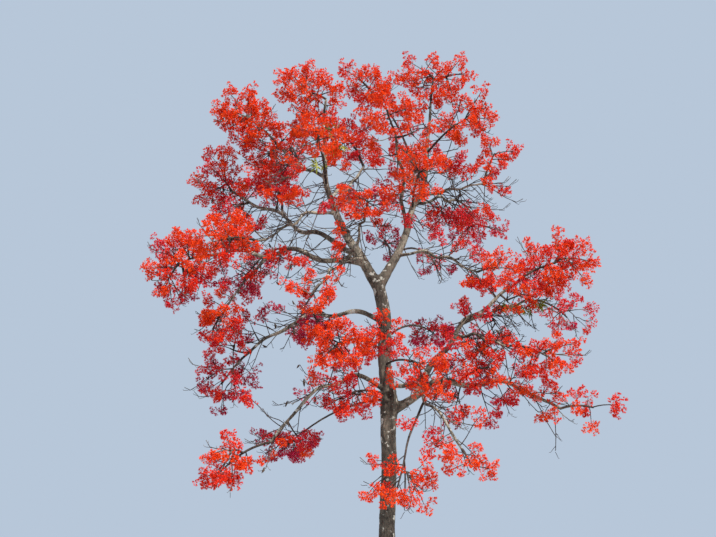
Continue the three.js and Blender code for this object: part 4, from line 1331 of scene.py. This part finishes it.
LEAF_LOOSE, LEAF_HANG, LEAF_ONWARD = (1, 1, 0.5), 0.35, 0.6
FINGER_TURNS = np.radians([-98, -50, 0, 50, 98])
FINGER_LENGTHS = np.array([0.62, 0.88, 1.0, 0.88, 0.62])
FINGER_WAIST, FINGER_HALF = 0.45, math.radians(15)  # its widest place, and half its width there
LEAF_DROOP = 0.28
LEAF_TONES = (0.11, 0.16, 0.010), (0.34, 0.34, 0.03)

leaf, leaf_faces = [np.zeros(3)], []
for i, (turn, reach) in enumerate(zip(FINGER_TURNS, FINGER_LENGTHS)):
    for out, swing in ((FINGER_WAIST, -FINGER_HALF), (1.0, 0.0), (FINGER_WAIST, FINGER_HALF)):
        far = out * reach
        leaf.append(np.array([
            math.sin(turn + swing) * far, -LEAF_DROOP * far * far, math.cos(turn + swing) * far,
        ]))
    leaf_faces.append([0, 3 * i + 1, 3 * i + 2, 3 * i + 3])
leaf, leaf_faces = np.array(leaf), np.array(leaf_faces)

leaf_spots, leaf_ways, leaf_twigs = [], [], []
for name, share, way, count in LEAF_TUFTS:
    start, way = limbs[name]["line"](share), unit(np.array(way))
    twig_line = hanging(start, start + way * LEAF_TWIG)
    leaf_twigs.append(twig_line(np.linspace(0, 1, LEAF_TWIG_RINGS)))
    for i in range(count):
        along = LEAVES_FROM + (1 - LEAVES_FROM) * (i + 1) / count
        loose = dice.normal(size=3) * LEAF_LOOSE - UP * LEAF_HANG
        leaf_ways.append(unit(way * LEAF_ONWARD + loose))
        leaf_spots.append(twig_line(along) + unit(loose) * LEAF_SPREAD * dice.uniform(*LEAF_OFF))
leaf_radii = np.linspace(LEAF_TWIG_RADIUS, LEAF_TWIG_RADIUS / 2, LEAF_TWIG_RINGS)
leaves = mesh_object(
    "early_leaves",
    *gathered([
        copies(leaf, leaf_faces, sway(leaf_spots), np.array(leaf_ways), LEAF_SIZE, LEAF_SIZES),
        tubes(sway(leaf_twigs), np.tile(leaf_radii, (len(leaf_twigs), 1)), LEAF_TWIG_SIDES),
    ]),
)
leaves.data.materials.append(two_tone("leaf_green", 0.55, 5.0, LEAF_TONES))
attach(leaves, "root")

# Some seed pods of last season still hang dry at the tips of bare shoots. They are woody, dark
# brown and shaped like a small boat with pointed ends.
PODS = {"long_left_bough": 7, "lower_left_bough": 9, "far_left_bough": 7, "inner_front_bough": 2,
        "right_shelf_bough": 4, "left_middle_bough": 4}
POD_SIZE, POD_SIZES, POD_SWING = 0.15, (0.8, 1.3), 0.4
POD_HALF_WIDTH, POD_HALF_DEPTH, POD_BOW, POD_SIDES = 0.20, 0.16, 0.14, 6  # against its size
POD_RINGS = ((0.0, 0.10), (0.18, 0.62), (0.45, 1.0), (0.75, 0.72), (1.0, 0.06))  # along, and width
POD_TONES = (0.030, 0.018, 0.012), (0.085, 0.052, 0.032)

pod_turn = np.arange(POD_SIDES) * 2 * math.pi / POD_SIDES
pod = np.concatenate([
    np.stack([
        np.cos(pod_turn) * POD_HALF_WIDTH * wide + POD_BOW * math.sin(math.pi * along),
        np.sin(pod_turn) * POD_HALF_DEPTH * wide,
        np.full(POD_SIDES, along),
    ], axis=1)
    for along, wide in POD_RINGS
])
pod_here = np.arange(POD_SIDES)
pod_there = (pod_here + 1) % POD_SIDES
pod_faces = np.concatenate([
    np.stack([pod_here, pod_there, pod_there + POD_SIDES, pod_here + POD_SIDES], axis=1) + ring * POD_SIDES
    for ring in range(len(POD_RINGS) - 1)
])
pod_spots = np.array([
    shoot["line"](1.0) for name, count in PODS.items() for shoot in bough_shoots[name][:count]
])
pod_ways = unit(dice.normal(size=pod_spots.shape) * POD_SWING - UP)
pods = mesh_object("seed_pods", *copies(pod, pod_faces, sway(pod_spots), pod_ways, POD_SIZE, POD_SIZES))
pods.data.materials.append(two_tone("dry_pod", 0.8, 20.0, POD_TONES))
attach(pods, "root")

# The tree stands on a plain pale floor under soft light, from high on the right in front, with
# a pale sky all round that fills the shade.
SUNWARD = (0.34, -0.54, 0.77)
SUN_STRENGTH, SUN_SOFTNESS, SUN_TINT = 5.5, math.radians(7), (1.0, 0.96, 0.90)
SKY, SKY_STRENGTH = (0.50, 0.60, 0.73), 0.95
FLOOR_HALF, FLOOR_TONE = 90.0, (0.40, 0.40, 0.39)

floor = mesh_object(
    "studio_floor",
    np.array([[-1, -1, 0], [1, -1, 0], [1, 1, 0], [-1, 1, 0]]) * FLOOR_HALF,
    [np.array([[0, 1, 2, 3]])],
)
floor_finish, floor_nodes, floor_shader = new_material("pale_floor", roughness=0.9)
floor_shader.inputs["Base Color"].default_value = (*FLOOR_TONE, 1)
floor.data.materials.append(floor_finish)

sun = bpy.data.objects.new("sun", bpy.data.lights.new("sun", "SUN"))
sun.data.energy = SUN_STRENGTH
sun.data.angle = SUN_SOFTNESS
sun.data.color = SUN_TINT
sun.rotation_euler = Vector(SUNWARD).to_track_quat("Z", "Y").to_euler()
bpy.context.scene.collection.objects.link(sun)

sky = bpy.data.worlds.new("sky")
sky.use_nodes = True
sky.node_tree.nodes["Background"].inputs["Color"].default_value = (*SKY, 1)
sky.node_tree.nodes["Background"].inputs["Strength"].default_value = SKY_STRENGTH
bpy.context.scene.world = sky
bpy.context.scene.view_settings.view_transform = "Standard"
